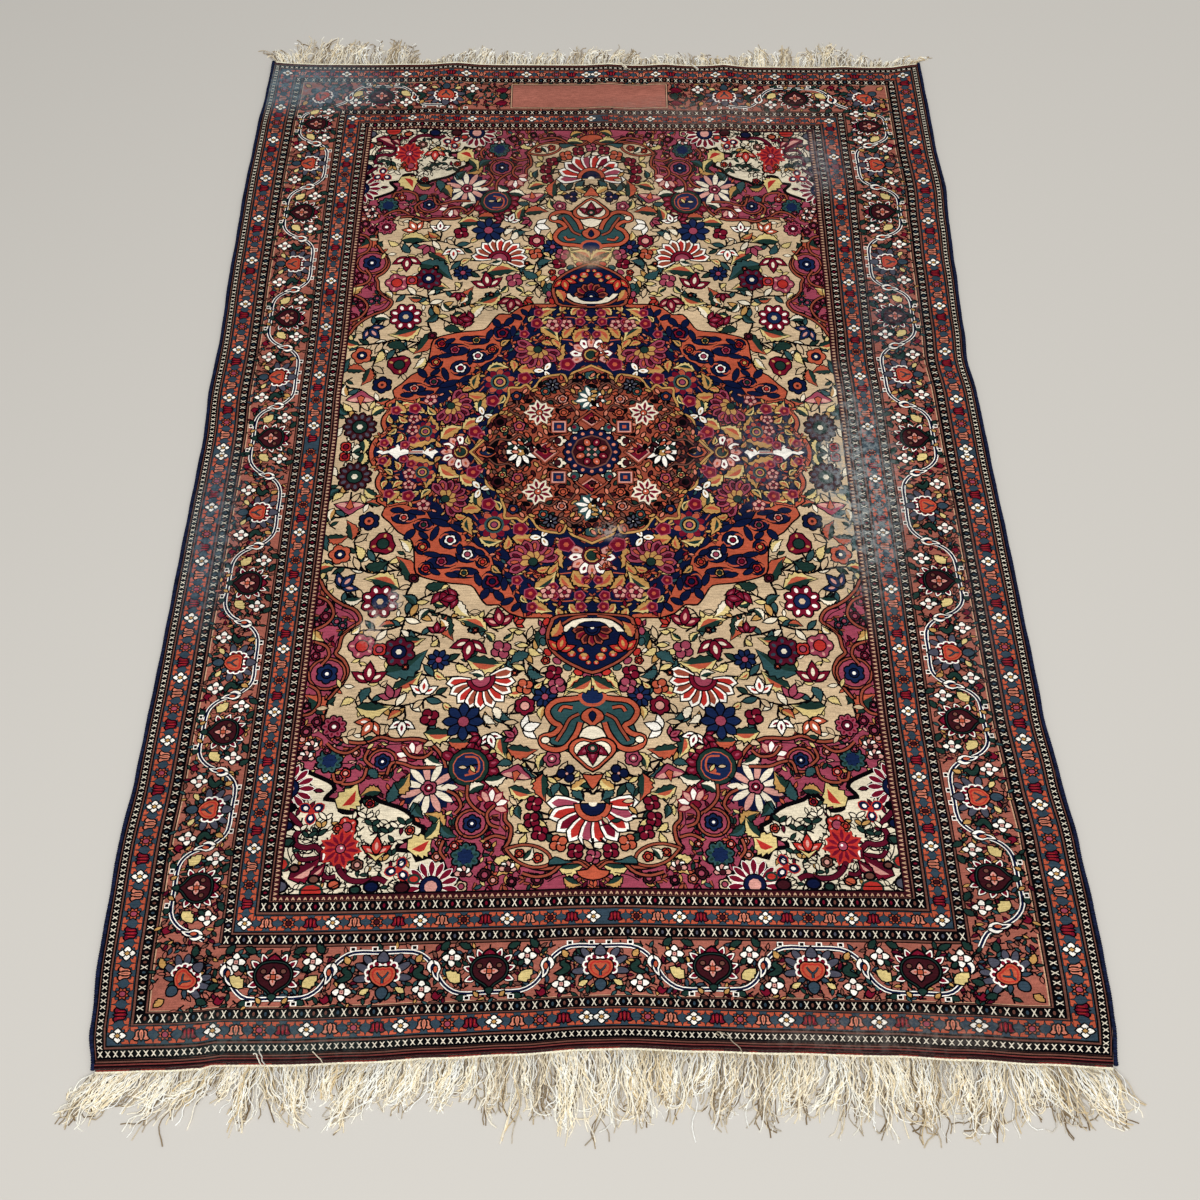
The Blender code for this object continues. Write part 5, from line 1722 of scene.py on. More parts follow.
def flatten(field_shapes):
    """Cut the shapes into one flat mesh: points, triangles and each triangle's yarn.

    It is cut twice: the second time only along the lines where the yarn changes.
    """
    places = [Vector(point) for point in grid_points()]
    edges = []
    outer = divided([(-CUT_X, -EDGE_Y), (CUT_X, -EDGE_Y), (CUT_X, EDGE_Y), (-CUT_X, EDGE_Y)])
    lines = [outer] + [ring_line(depth) for depth, _ in STRIPES[1:]]
    for depth, _ in END_STRIPES:
        x, y = CUT_X + 1.0, EDGE_Y - depth
        lines.append(divided([(-x, -y), (x, -y), (x, y), (-x, y)]))
    for line in lines + [outline for outline, _ in SHAPES]:
        add_ring(line, places, edges)
    flat, faces = triangles(places, edges)
    yarns = painted(flat[faces].mean(1), field_shapes)
    kept = thinned(flat, yarn_edges(flat, faces, yarns))
    used, numbers = np.unique(kept, return_inverse=True)
    edges = [tuple(pair) for pair in numbers.reshape(kept.shape).tolist()]
    places = [Vector(flat[index]) for index in used]
    places += [Vector(point) for point in grid_points()]
    for line in [outer] + [ring_line(depth) for depth in BAND_DEPTHS]:
        add_ring(line, places, edges)
    # The seam between the near and far halves of the field
    seam = [(x, 0.0) for x in np.linspace(-EDGE_X + BAND_DEPTHS[0], EDGE_X - BAND_DEPTHS[0], 40)]
    edges += [(len(places) + index, len(places) + index + 1) for index in range(len(seam) - 1)]
    places += [Vector(point) for point in seam]
    flat, faces = triangles(places, edges)
    faces = faces[(np.abs(flat[faces].mean(1)) < (CUT_X, EDGE_Y)).all(1)]
    return flat, faces, painted(flat[faces].mean(1), field_shapes)


def band_of(points):
    """Which piece of pile: 0 near field, 1 inner guards, 2 main border, 3 outer guards, 4 far field."""
    bands = sum(outside(points, depth).astype(int) for depth in BAND_DEPTHS)
    return np.where((bands == 0) & (points[:, 1] > 0.0), 4, bands)


def new_object(name, places, faces, material):
    """A mesh object riding on the rug."""
    mesh = bpy.data.meshes.new(name)
    mesh.from_pydata([tuple(place) for place in places], [], [tuple(int(i) for i in face) for face in faces])
    mesh.materials.append(material)
    item = bpy.data.objects.new(name, mesh)
    bpy.context.scene.collection.objects.link(item)
    return item


def rim_edges(faces):
    """Directed edges that only one triangle has."""
    ends = np.concatenate([faces[:, [0, 1]], faces[:, [1, 2]], faces[:, [2, 0]]])
    have = {(int(a), int(b)) for a, b in ends}
    return [(a, b) for a, b in have if (b, a) not in have]


def floor_faces(flat, rim, band):
    """Points and triangles that close a piece of pile underneath: the rim's points come first."""
    used = sorted({index for edge in rim for index in edge})
    number = {index: place for place, index in enumerate(used)}
    edges = [(number[a], number[b]) for a, b in rim]
    places = [Vector(flat[index]) for index in used]
    spare = np.array(grid_points(), float) + 1.3
    clear = sum(np.abs(band_of(spare + shift) - band) for shift in (0.0, 4.0, -4.0))
    places += [Vector(point) for point in spare[clear == 0]]
    made, _, faces, origins, _, _ = delaunay_2d_cdt(places, edges, [], 0, 1e-5, True)
    made = np.array([tuple(point) for point in made])
    middles = made[np.array(faces)].mean(1)
    inside = band_of(middles) == band
    kept = [[origins[index][0] for index in face] for face, keep in zip(faces, inside) if keep]
    extra = np.array([tuple(point) for point in places[len(used):]])
    return used, extra, kept


def pile_piece(name, band, flat, faces, yarns, bands, material):
    """One closed slab of pile with the pattern's yarns on it."""
    chosen = bands == band
    faces, yarns = faces[chosen], yarns[chosen]
    rim = rim_edges(faces)
    used = np.unique(faces)
    number = -np.ones(len(flat), int)
    number[used] = np.arange(len(used))
    rim_used, extra, under = floor_faces(flat, rim, band)
    foot = {index: len(used) + place for place, index in enumerate(rim_used)}
    all_faces = [[len(used) + index for index in reversed(face)] for face in under]
    walls = [(foot[a], foot[b], number[b], number[a]) for a, b in rim]
    all_faces += walls
    all_faces += [[number[index] for index in face] for face in faces]
    below = np.concatenate([flat[rim_used], extra])
    places = np.concatenate([drawn_points(flat[used], PILE_TOP), drawn_points(below, PILE_FOOT)])
    item = new_object(name, places, all_faces, material)
    palette = np.array([colour_of(yarn) for yarn in YARN_ORDER])
    colours = []
    for face in all_faces[:len(under) + len(walls)]:
        colours.append(np.tile(palette[YARN_ORDER.index("ink")], (len(face), 1)))
    colours.append(np.repeat(palette[yarns], 3, axis=0))
    layer = item.data.color_attributes.new("yarn", "BYTE_COLOR", "CORNER")
    layer.data.foreach_set("color_srgb", np.concatenate(colours).astype(np.float32).ravel())
    return item


# ---------------------------------------------------------------- cloth, cords, flat-woven ends and fringes
CLOTH_TOP = 0.0050
CLOTH_COLUMNS = 60
CLOTH_ROWS = 96
WRAPS = 640         # turns of the yarn round a cord
WRAP_RADII = (0.0035, 0.0029)       # of the cord at a turn, and between two turns
CORD_PAST_NEAR = 0.0018
CORD_PAST_FAR = 0.0056
CORD_HEIGHT = 0.0035        # of the cord's middle
CORD_COLOUR = (24, 30, 54)
WEAVE_COLUMNS = 900
WEAVE_ROWS = 7
WEAVE_TOP = 0.0021
WEAVE_RISE = 0.0006         # of the weft where it passes over a warp
WEFT_CREAM = (250, 242, 216)
WEFT_RED = (140, 58, 50)
WEFT_BROWN = (78, 44, 46)
WEFT_DARK = (54, 42, 40)
WEFT_UNDER = (190, 180, 150)


def slab(columns, rows, low, high):
    """Points and faces of a closed slab of cloth over a grid of stations; low and high are lifts."""
    grid_x, grid_y = np.meshgrid(columns, rows)
    flat_x, flat_y = grid_x.ravel(), grid_y.ravel()
    places = np.concatenate([cloth_points(flat_x, flat_y, low), cloth_points(flat_x, flat_y, high)])
    wide, deep = len(columns), len(rows)
    layer = wide * deep
    corners = (np.arange(deep - 1)[:, None] * wide + np.arange(wide - 1)[None, :]).ravel()
    under = np.stack([corners, corners + wide, corners + wide + 1, corners + 1], 1)
    top = np.stack([corners, corners + 1, corners + wide + 1, corners + wide], 1) + layer
    rim = list(range(wide)) + [row * wide + wide - 1 for row in range(1, deep)]
    rim += [(deep - 1) * wide + column for column in range(wide - 2, -1, -1)]
    rim += [row * wide for row in range(deep - 2, 0, -1)]
    walls = [(a, b, b + layer, a + layer) for a, b in zip(rim, rim[1:] + rim[:1])]
    return places, top.tolist(), under.tolist() + walls


def colour_faces(item, colours):
    """Give each face its colour; colours has one row a face."""
    counts = np.array([len(face.vertices) for face in item.data.polygons])
    rows = np.concatenate([np.asarray(colours, float), np.ones((len(colours), 1))], 1)
    layer = item.data.color_attributes.new("yarn", "BYTE_COLOR", "CORNER")
    layer.data.foreach_set("color_srgb", np.repeat(rows, counts, axis=0).astype(np.float32).ravel())


def cloth_sheet(material):
    """The knotted cloth that carries the pile, down to its underside."""
    inner = HALF_WIDTH - CORD_WIDTH - 0.0002
    columns = np.linspace(-inner, inner, CLOTH_COLUMNS)
    rows = np.linspace(-HALF_LENGTH, HALF_LENGTH, CLOTH_ROWS)
    places, top, rest = slab(columns, rows, 0.0, CLOTH_TOP)
    return new_object("rug_cloth", places, top + rest, material)


def tubes(paths, radii, sides):
    """Points and faces of thin closed tubes; paths is tubes by stations by 3, radii tubes by stations."""
    count, stations = radii.shape
    along = np.gradient(paths, axis=1)
    along /= np.linalg.norm(along, axis=2, keepdims=True) + 1e-12
    across = np.cross(along, [0.0, 0.0, 1.0])
    across /= np.linalg.norm(across, axis=2, keepdims=True) + 1e-12
    above = np.cross(across, along)
    places = []
    for turn in np.arange(sides) * 2.0 * math.pi / sides + 0.5 * math.pi:
        places.append(paths + radii[..., None] * (across * math.cos(turn) + above * math.sin(turn)))
    places = np.stack(places, 2).reshape(-1, 3)
    base = (np.arange(count)[:, None] * stations + np.arange(stations - 1)[None, :]).ravel() * sides
    faces = []
    for side in range(sides):
        nxt = (side + 1) % sides
        faces.append(np.stack([base + side, base + nxt, base + sides + nxt, base + sides + side], 1))
    order = np.stack(faces, 1).reshape(-1, 4)
    starts = np.arange(count) * stations * sides
    heads = (starts[:, None] + np.arange(sides)[None, ::-1])
    tails = (starts[:, None] + (stations - 1) * sides + np.arange(sides)[None, :])
    return places, order.tolist(), heads.tolist() + tails.tolist()


def selvedge(name, side, material):
    """The overcast cord along a long side, wrap by wrap."""
    y = np.linspace(-HALF_LENGTH - CORD_PAST_NEAR, HALF_LENGTH + CORD_PAST_FAR, 2 * WRAPS + 1)
    chance = np.random.default_rng(3 if side < 0.0 else 4)
    radius = np.where(np.arange(len(y)) % 2, *WRAP_RADII) + chance.normal(0.0, 0.00009, len(y))
    radius[[0, -1]] *= 0.7
    drift = 0.0004 * np.sin(y * 31.0 + side) + 0.0003 * np.sin(y * 83.0)
    path = cloth_points(np.full(len(y), side * (HALF_WIDTH - 0.5 * CORD_WIDTH)) + drift, y, CORD_HEIGHT)
    places, faces, ends = tubes(path[None], radius[None], 8)
    item = new_object(name, places, faces + ends, material)
    tone = np.repeat(chance.uniform(0.75, 1.25, 2 * WRAPS), 8)
    hue = np.array([CORD_COLOUR]) / 255.0
    colours = np.concatenate([hue * tone[:, None], np.repeat(hue, 2, axis=0)])
    colour_faces(item, np.clip(colours, 0.0, 1.0))
    return item


def kilim_end(name, way, material):
    """The narrow flat-woven band past an end of the pile, its weft rising and falling over the warps."""
    width = KILIM_NEAR if way < 0.0 else KILIM_FAR
    start = HALF_LENGTH + PIECE_GAP
    inner = HALF_WIDTH - CORD_WIDTH - PIECE_GAP
    columns = np.linspace(-inner, inner, WEAVE_COLUMNS)
    rows = np.sort(way * np.linspace(start, start + width, WEAVE_ROWS))
    places, top, rest = slab(columns, rows, 0.0, WEAVE_TOP)
    half = len(places) // 2
    weave = ((np.arange(WEAVE_COLUMNS)[None, :] // 2 + np.arange(WEAVE_ROWS)[:, None]) % 2).ravel()
    places[half:, 2] += WEAVE_RISE * weave
    item = new_object(name, places, top + rest, material)
    chance = np.random.default_rng(9)
    colours = []
    for face in range(len(top)):
        row, column = divmod(face, WEAVE_COLUMNS - 1)
        base = WEFT_CREAM
        if way < 0.0 and row >= 3:
            red = (math.sin(0.061 * column) + math.sin(0.143 * column)) > 0.1
            base = WEFT_RED if red else WEFT_BROWN
            base = WEFT_DARK if row == WEAVE_ROWS - 2 else base
        colours.append(np.array(base) / 255.0 * chance.uniform(0.86, 1.08))
    colours += [np.array(WEFT_UNDER) / 255.0] * len(rest)
    colour_faces(item, np.clip(colours, 0.0, 1.0))
    return item


# Warp ends that lie back over the pile, by the end they belong to: distance from the middle
LOOSE_ENDS = {-1.0: [-0.452, -0.447, -0.37, 0.18], 1.0: [0.04, 0.045, 0.19, 0.192, -0.63]}
LOOSE_HEIGHT = 0.0072       # of their middles, above the underside
# Locks are neighbouring ends that lean and curl together: how many partings, and how high a heap rises
LOCKS = {-1.0: 170, 1.0: 190}
HEAP_HEIGHT = {-1.0: 0.0085, 1.0: 0.0075}
WARP_RADII = (0.00062, 0.00100)
WARP_LOW = 0.0007           # height of an end that lies on the floor, and the least it may have
WARP_LOWEST = 0.0006
FRINGE_INSET = 0.003        # how far inside the long sides a fringe stops
ROOT_REACH = 0.0040         # the thin root under the ends
ROOT_HEIGHT = 0.0010
WARP_TONES = [(255, 253, 242), (255, 248, 230), (248, 236, 208), (255, 255, 250), (226, 206, 166)]
# Painted shade: the dark colour of ends that lie deep in the heap, under and between others
WARP_PAINTED_SHADE = (0.50, 0.42, 0.31)
# Root colour: partly the darker base of the ends, partly painted shade under them
WARP_ROOT_SHADE = (0.74, 0.68, 0.54)
# Which way the ends lean along the near edge: distance from the middle, degrees to the right
NEAR_LEAN = [
    (-0.675, -50), (-0.598, -44), (-0.557, -36), (-0.486, -38), (-0.477, -16), (-0.462, 2), (-0.427, 26),
    (-0.401, -6), (-0.368, -14), (-0.296, -28), (-0.230, -26), (-0.191, -20), (-0.138, -4), (-0.060, 6),
    (-0.007, 0), (0.058, -4), (0.124, -18), (0.203, -4), (0.281, -14), (0.360, 8), (0.439, 0), (0.518, -10),
    (0.583, 14), (0.622, 42), (0.655, 30), (0.675, 18),
]


def warp_ends(chance, way, table, count, stations):
    """Loose warp ends in locks that lean and curl: root places, paths, radii and height in the heap."""
    inner = HALF_WIDTH - FRINGE_INSET
    root_x = np.sort(chance.uniform(-inner, inner, count))
    edges = np.sort(chance.uniform(-inner, inner, LOCKS[way]))
    lock = np.searchsorted(edges, root_x)
    locks = len(edges) + 1
    middle = [root_x[lock == index].mean() if (lock == index).any() else 0.0 for index in range(locks)]
    lean = chance.normal(0.0, 9.0, locks)
    curl = chance.normal(0.0, 24.0, locks)
    sway = chance.uniform(6.0, 24.0, locks)
    tide = chance.uniform(0.0, 6.28, locks)
    long = chance.uniform(0.68, 1.16, locks)
    heap = chance.uniform(0.2, 1.0, locks)
    gather = chance.uniform(-0.1, 0.8, locks)
    columns = np.array([row[0] for row in table])
    lengths = np.interp(root_x, columns, [row[1] for row in table])
    reaches = np.interp(root_x, columns, [row[2] for row in table])
    lean_angle = np.degrees(np.arctan2(reaches, lengths))
    if way < 0.0:
        lean_angle = np.interp(root_x, *zip(*NEAR_LEAN))
    lengths = lengths * long[lock] * chance.uniform(0.58, 1.16, count) * (1.18 if way < 0.0 else 1.12)
    lengths = np.maximum(lengths, 0.006)
    roots = cloth_points(root_x, np.full(count, way * (fringe_start(way) - 0.0012)), 0.0018)
    share = np.linspace(0.0, 1.0, stations)
    # Each end's own lean, bend, hooked tip and waves, in degrees
    single = chance.normal(0.0, 6.0, count)
    bend = chance.normal(0.0, 14.0, count)
    hook = np.where(chance.random(count) < 0.46, chance.normal(0.0, 170.0, count),
                    chance.normal(0.0, 30.0, count))
    wave = chance.uniform(8.0, 40.0, count)
    phase = chance.uniform(0.0, 6.28, count)
    beats = chance.uniform(1.0, 3.2, count)
    heading = (
        lean_angle[:, None] * (0.45 + 1.1 * share[None, :])
        + (lean[lock] + single)[:, None] * (0.4 + share[None, :])
        + (curl[lock] + bend)[:, None] * (share[None, :] - 0.35)
        + hook[:, None] * np.clip(share[None, :] - 0.66, 0.0, 1.0) * 2.2
        + sway[lock][:, None] * np.sin(7.5 * share[None, :] + tide[lock][:, None]) * share[None, :]
        + wave[:, None] * np.sin(6.28 * beats[:, None] * share[None, :] + phase[:, None])
    )
    step = (lengths / (stations - 1))[:, None]
    turn = np.radians(heading[:, :-1])
    x = roots[:, 0, None] + np.pad(np.cumsum(np.sin(turn) * step, 1), ((0, 0), (1, 0)))
    y = roots[:, 1, None] + way * np.pad(np.cumsum(np.cos(turn) * step, 1), ((0, 0), (1, 0)))
    pull = (np.array(middle)[lock] + CENTRE_X - roots[:, 0])[:, None] * gather[lock][:, None]
    x += pull * (share[None, :] ** 1.2)
    top = chance.uniform(0.0, 1.0, count) * heap[lock] * HEAP_HEIGHT[way]
    z = WARP_LOW + (roots[:, 2, None] - WARP_LOW) * (1.0 - share[None, :]) ** 1.5
    z += top[:, None] * np.sin(math.pi * share[None, :] ** 0.75)
    z += WARP_LOW * np.sin(9.0 * share[None, :] + phase[:, None] * 3.0) * share[None, :]
    z = np.maximum(z, WARP_LOWEST)
    thin = chance.uniform(*WARP_RADII, count)[:, None] * np.where(share[None, :] > 0.9, 1.15, 1.0)
    for loose in LOOSE_ENDS[way]:
        index = int(np.argmin(np.abs(root_x - loose)))
        turned = 0.42 * (roots[index, 1] - y[index])
        y[index] = roots[index, 1] + turned
        x[index] = roots[index, 0] + 0.5 * (x[index] - roots[index, 0]) - 0.8 * turned
        z[index] = np.maximum(z[index], ripple_height(x[index], y[index]) + LOOSE_HEIGHT)
    return root_x, np.stack([x, y, z], 2), thin * np.ones((1, stations)), top


def warp_colours(chance, root_x, top, share):
    """Colours of the ends' sides from root to tip, and of their tips: painted shade deep in the heap, pale on
    top, and a little painted shade near the roots.
    """
    count = len(root_x)
    khaki = 0.5 + 0.5 * np.sin(root_x * 9.0 + 1.3) * np.sin(root_x * 23.0)
    pick = np.clip((chance.integers(0, 4, count) + (chance.random(count) < 0.45 * khaki)), 0, 4)
    # Painted shade: ends low in the heap get the dark colour, those on top their own pale tone
    height_share = np.clip(top / (0.42 * top.max()) + chance.normal(0.22, 0.34, count), 0.0, 1.0)[:, None]
    tones = np.array(WARP_TONES) / 255.0
    tips = np.array([WARP_PAINTED_SHADE]) * (1.0 - height_share) + tones[pick] * height_share
    # Painted shade: the sides are a little darker near the root, more so where the ends are khaki
    root_shade = 1.0 - 0.08 * (0.3 + khaki[:, None]) * np.clip(1.0 - 2.6 * share[None, :-1], 0.0, 1.0)
    return (tips[:, None, :] * root_shade[:, :, None]).reshape(-1, 3), tips


def fringe_start(way):
    """How far from the middle a fringe begins."""
    return HALF_LENGTH + 2.0 * PIECE_GAP + (KILIM_NEAR if way < 0.0 else KILIM_FAR)


def fringe(name, way, table, count, stations, material, seed):
    """The fringe past an end of the rug, with a thin root under its loose ends."""
    chance = np.random.default_rng(seed)
    sides = 3
    root_x, paths, thin, top = warp_ends(chance, way, table, count, stations)
    places, faces, ends = tubes(paths, thin, sides)
    inner = HALF_WIDTH - FRINGE_INSET
    start = fringe_start(way)
    rows = np.sort([way * (start + 0.0001), way * (start + ROOT_REACH)])
    root_places, root_top, root_rest = slab(np.linspace(-inner, inner, 340), rows, 0.0, ROOT_HEIGHT)
    shift = len(places)
    root_faces = [[index + shift for index in face] for face in root_top + root_rest]
    item = new_object(name, np.concatenate([places, root_places]), faces + ends + root_faces, material)
    along, tips = warp_colours(chance, root_x, top, np.linspace(0.0, 1.0, stations))
    # The root slab's colour is partly the ends' own darker base, partly painted shade under them
    root = np.tile([WARP_ROOT_SHADE], (len(root_faces), 1))
    colours = np.concatenate([np.repeat(along, sides, axis=0), tips, tips, root])
    colour_faces(item, np.clip(colours, 0.0, 1.0))
    return item


# ---------------------------------------------------------------- materials
def node(tree, kind, **settings):
    """A shader node with its settings and input values."""
    made = tree.nodes.new(kind)
    for name, value in settings.items():
        if name.startswith("in_"):
            key = name[3:]
            made.inputs[int(key) if key.isdigit() else key.replace("_", " ")].default_value = value
        else:
            setattr(made, name, value)
    return made


def cloth_material(name, colour, roughness):
    """A rough fibre material."""
    material = bpy.data.materials.new(name)
    material.use_nodes = True
    shader = material.node_tree.nodes["Principled BSDF"]
    shader.inputs["Base Color"].default_value = (*colour, 1.0)
    shader.inputs["Roughness"].default_value = roughness
    shader.inputs["Specular IOR Level"].default_value = 0.0
    return material


# Knots, rows of knots, and dye lots: grains a metre across and along, darkest, lightest
GRAINS = [(760.0, 760.0, 0.80, 1.20), (60.0, 520.0, 0.82, 1.18), (3.0, 26.0, 0.86, 1.12)]
# Patches where the colour turns towards another: middle and half size in metres, sRGB it turns to, how far,
# how broken up
TINT_PATCHES = [
    (-0.60, 0.90, 0.22, 0.085, (120, 140, 150), 0.62, 0.55),
    (0.44, -0.06, 0.085, 0.26, (150, 158, 158), 0.70, 0.88),
    (0.22, 0.83, 0.26, 0.055, (146, 130, 122), 0.36, 0.7),
    (-0.014, 0.442, 0.055, 0.028, (190, 160, 128), 0.80, 0.6),
    (0.43, 0.69, 0.07, 0.10, (136, 136, 142), 0.5, 0.8),
    (-0.352, -0.325, 0.024, 0.044, (196, 178, 168), 0.50, 1.0),
    (-0.322, -0.278, 0.016, 0.020, (190, 190, 192), 0.55, 1.0),
    (-0.45, -0.93, 0.22, 0.035, (92, 104, 100), 0.35, 0.8),
    (-0.625, -0.17, 0.05, 0.20, (112, 130, 140), 0.42, 0.8),
    (0.53, 0.32, 0.07, 0.17, (104, 118, 128), 0.26, 0.8),
    (0.30, 0.0, 0.16, 0.12, (120, 120, 124), 0.3, 0.8),
    (0.02, -0.15, 0.03, 0.02, (196, 178, 168), 0.6, 1.0), (0.0, 0.66, 0.42, 0.17, (76, 62, 54), 0.34, 0.85),
    (0.40, -0.93, 0.24, 0.03, (140, 130, 122), 0.3, 0.8),
    (0.60, -0.30, 0.04, 0.22, (96, 102, 108), 0.16, 0.8),
]


def linear(colour):
    """An sRGB colour of 0 to 255 as a linear one, with alpha."""
    shares = [c / 255.0 for c in colour]
    return tuple(((c + 0.055) / 1.055) ** 2.4 if c > 10.0 / 255.0 else c / 12.92 for c in shares) + (1.0,)


def tinted(tree, colour, factor):
    """A colour multiplied by a factor."""
    shade = node(tree, "ShaderNodeMix", data_type="RGBA", blend_type="MULTIPLY", in_0=1.0)
    tree.links.new(colour, shade.inputs[6])
    tree.links.new(factor, shade.inputs[7])
    return shade.outputs[2]


def patched(tree, colour, place):
    """A colour that turns towards other colours in patches."""
    link = tree.links.new
    patchy = node(tree, "ShaderNodeTexNoise", in_Scale=90.0, in_Detail=6.0, in_Roughness=0.78)
    link(place, patchy.inputs["Vector"])
    for x, y, half_x, half_y, patch_tint, strength, parted in TINT_PATCHES:
        broken = node(tree, "ShaderNodeMapRange", in_1=0.46, in_2=0.58, in_3=1.0 - parted, in_4=1.0)
        link(patchy.outputs["Fac"], broken.inputs[0])
        spot = node(tree, "ShaderNodeMapping", vector_type="TEXTURE")
        spot.inputs["Location"].default_value = (x, y, 0.0)
        spot.inputs["Scale"].default_value = (half_x, half_y, 1.0)
        link(place, spot.inputs["Vector"])
        distance = node(tree, "ShaderNodeVectorMath", operation="LENGTH")
        link(spot.outputs[0], distance.inputs[0])
        soft = node(tree, "ShaderNodeMapRange", interpolation_type="SMOOTHSTEP", in_1=0.25, in_2=1.2,
                    in_3=strength, in_4=0.0)
        link(distance.outputs["Value"], soft.inputs[0])
        amount = node(tree, "ShaderNodeMath", operation="MULTIPLY")
        link(soft.outputs[0], amount.inputs[0])
        link(broken.outputs[0], amount.inputs[1])
        patch_mix = node(tree, "ShaderNodeMix", data_type="RGBA")
        patch_mix.inputs[7].default_value = linear(patch_tint)
        link(amount.outputs[0], patch_mix.inputs[0])
        link(colour, patch_mix.inputs[6])
        colour = patch_mix.outputs[2]
    return colour


def pile_material():
    """Knotted wool in the yarns of the pattern, with streaks along the rows and patches where the colour
    turns.
    """
    material = cloth_material("wool_pile", (0.165, 0.068, 0.050), 0.92)
    tree = material.node_tree
    link = tree.links.new
    shader = tree.nodes["Principled BSDF"]
    yarn = node(tree, "ShaderNodeVertexColor", layer_name="yarn")
    place = node(tree, "ShaderNodeTexCoord").outputs["Object"]
    colour = yarn.outputs["Color"]
    for across, along, dark, light in GRAINS:
        stretch = node(tree, "ShaderNodeMapping")
        stretch.inputs["Scale"].default_value = (across, along, along)
        link(place, stretch.inputs["Vector"])
        noise = node(tree, "ShaderNodeTexNoise", in_Scale=1.0, in_Detail=1.0)
        link(stretch.outputs[0], noise.inputs["Vector"])
        tone = node(tree, "ShaderNodeMapRange", in_1=0.3, in_2=0.7, in_3=dark, in_4=light)
        link(noise.outputs["Fac"], tone.inputs[0])
        colour = tinted(tree, colour, tone.outputs[0])
    colour = patched(tree, colour, place)
    link(colour, shader.inputs["Base Color"])
    bump = node(tree, "ShaderNodeBump", in_Strength=0.35, in_Distance=0.0006)
    rows = node(tree, "ShaderNodeTexNoise", in_Scale=650.0, in_Detail=2.0)
    link(place, rows.inputs["Vector"])
    link(rows.outputs["Fac"], bump.inputs["Height"])
    link(bump.outputs["Normal"], shader.inputs["Normal"])
    return material


def dyed_material(name, colour, roughness, scale):
    """Cord, weft or warp ends in the colours of their faces, with fine uneven fibre."""
    material = cloth_material(name, colour, roughness)
    tree = material.node_tree
    link = tree.links.new
    yarn = node(tree, "ShaderNodeVertexColor", layer_name="yarn")
    place = node(tree, "ShaderNodeTexCoord")
    fibre = node(tree, "ShaderNodeTexNoise", in_Scale=scale, in_Detail=2.0)
    link(place.outputs["Object"], fibre.inputs["Vector"])
    tone = node(tree, "ShaderNodeMapRange", in_1=0.3, in_2=0.7, in_3=0.88, in_4=1.14)
    link(fibre.outputs["Fac"], tone.inputs[0])
    colour = tinted(tree, yarn.outputs["Color"], tone.outputs[0])
    link(colour, tree.nodes["Principled BSDF"].inputs["Base Color"])
    return material


# ---------------------------------------------------------------- stage, light and camera
CAMERA_LENS = 36.06
CAMERA_SENSOR = 36.0
CAMERA_PLACE = (-0.019, -1.1635, 1.688)
CAMERA_RIGHT = (0.99993, -0.00540, 0.01026)
CAMERA_UP = (0.0, 0.88483, 0.46592)
CAMERA_BACK = (-0.01159, -0.46589, 0.88477)
FLOOR_HALF = 6.0
# Name, place, size, power
LIGHTS = [("key", (-0.2, -2.0, 3.0), 3.0, 72.0), ("fill", (1.8, 1.0, 3.0), 3.0, 22.0)]
WORLD_STRENGTH = 0.57


def build_floor():
    """The plain pale floor."""
    material = cloth_material("floor", (0.60, 0.575, 0.53), 0.6)
    corners = [(-FLOOR_HALF, -FLOOR_HALF, 0.0), (FLOOR_HALF, -FLOOR_HALF, 0.0)]
    corners += [(FLOOR_HALF, FLOOR_HALF, 0.0), (-FLOOR_HALF, FLOOR_HALF, 0.0)]
    item = new_object("floor", corners, [(0, 1, 2, 3)], material)


def build_light():
    """Soft even light, stronger from the near end."""
    world = bpy.data.worlds.new("studio")
    world.use_nodes = True
    world.node_tree.nodes["Background"].inputs["Color"].default_value = (1.0, 1.0, 1.0, 1.0)
    world.node_tree.nodes["Background"].inputs["Strength"].default_value = WORLD_STRENGTH
    bpy.context.scene.world = world
    for name, place, size, power in LIGHTS:
        light = bpy.data.lights.new(name, "AREA")
        light.size = size
        light.energy = power
        item = bpy.data.objects.new(name, light)
        item.location = place
        item.rotation_euler = (-Vector(place)).to_track_quat("-Z", "Y").to_euler()
        bpy.context.scene.collection.objects.link(item)


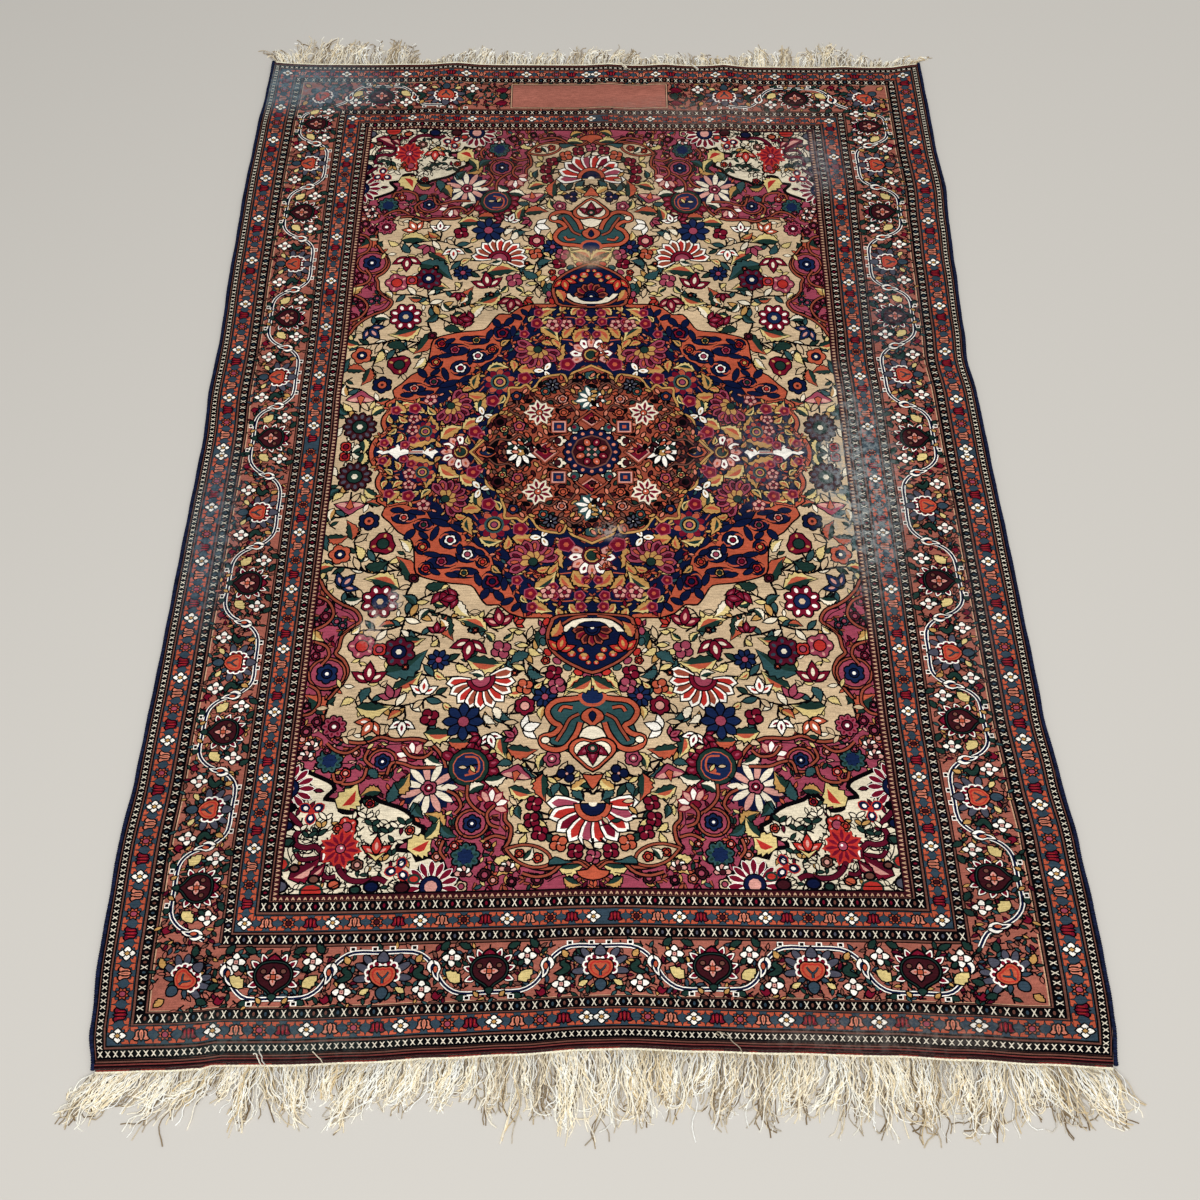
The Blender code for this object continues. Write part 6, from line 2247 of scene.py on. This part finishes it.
def build_camera():
    """The photograph's camera."""
    camera = bpy.data.cameras.new("camera")
    camera.lens = CAMERA_LENS
    camera.sensor_width = CAMERA_SENSOR
    item = bpy.data.objects.new("camera", camera)
    for row in range(3):
        for column, axis in enumerate((CAMERA_RIGHT, CAMERA_UP, CAMERA_BACK)):
            item.matrix_world[row][column] = axis[row]
    item.matrix_world.translation = CAMERA_PLACE
    bpy.context.scene.collection.objects.link(item)
    bpy.context.scene.camera = item


def build():
    """Build the rug and the stage."""
    bpy.context.scene.view_settings.view_transform = "Standard"
    build_camera()
    build_floor()
    build_light()
    field()
    field_shapes = len(SHAPES)
    for row in BEAD_STRIPES:
        bead_stripe(*row)
    triangle_stripe()
    for row in GUARD_BANDS:
        guard_band(*row)
    main_border()
    flat, faces, yarns = flatten(field_shapes)
    bands = band_of(flat[faces].mean(1))
    wool = pile_material()
    names = ["pile_near_field", "pile_inner_guards", "pile_main_border", "pile_outer_guards",
             "pile_far_field"]
    pieces = [pile_piece(name, band, flat, faces, yarns, bands, wool) for band, name in enumerate(names)]
    cloth = cloth_sheet(cloth_material("knotted_back", (0.19, 0.11, 0.085), 0.95))
    navy = dyed_material("navy_overcast", (0.012, 0.017, 0.042), 0.9, 900.0)
    cotton = dyed_material("cotton_flatweave", (0.66, 0.60, 0.45), 0.92, 700.0)
    thread = dyed_material("cotton_fringe", (0.60, 0.53, 0.37), 0.92, 260.0)
    others = [
        (selvedge("overcast_left", -1.0, navy), "selvedge_left", "navy_overcast"),
        (selvedge("overcast_right", 1.0, navy), "selvedge_right", "navy_overcast"),
        (kilim_end("flatweave_near", -1.0, cotton), "kilim_end_near", "cotton_flatweave"),
        (kilim_end("flatweave_far", 1.0, cotton), "kilim_end_far", "cotton_flatweave"),
        (fringe("warp_ends_near", -1.0, NEAR_TUFTS, 2050, 13, thread, 21), "fringe_near", "cotton_fringe"),
        (fringe("warp_ends_far", 1.0, FAR_TUFTS, 1500, 9, thread, 22), "fringe_far", "cotton_fringe"),
    ]
    for piece in pieces + [cloth]:
        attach(piece, "root")
    for piece, stands_for, finish in others:
        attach(piece, "root")
        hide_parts(stands_for)
    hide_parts("rug_body")


build()
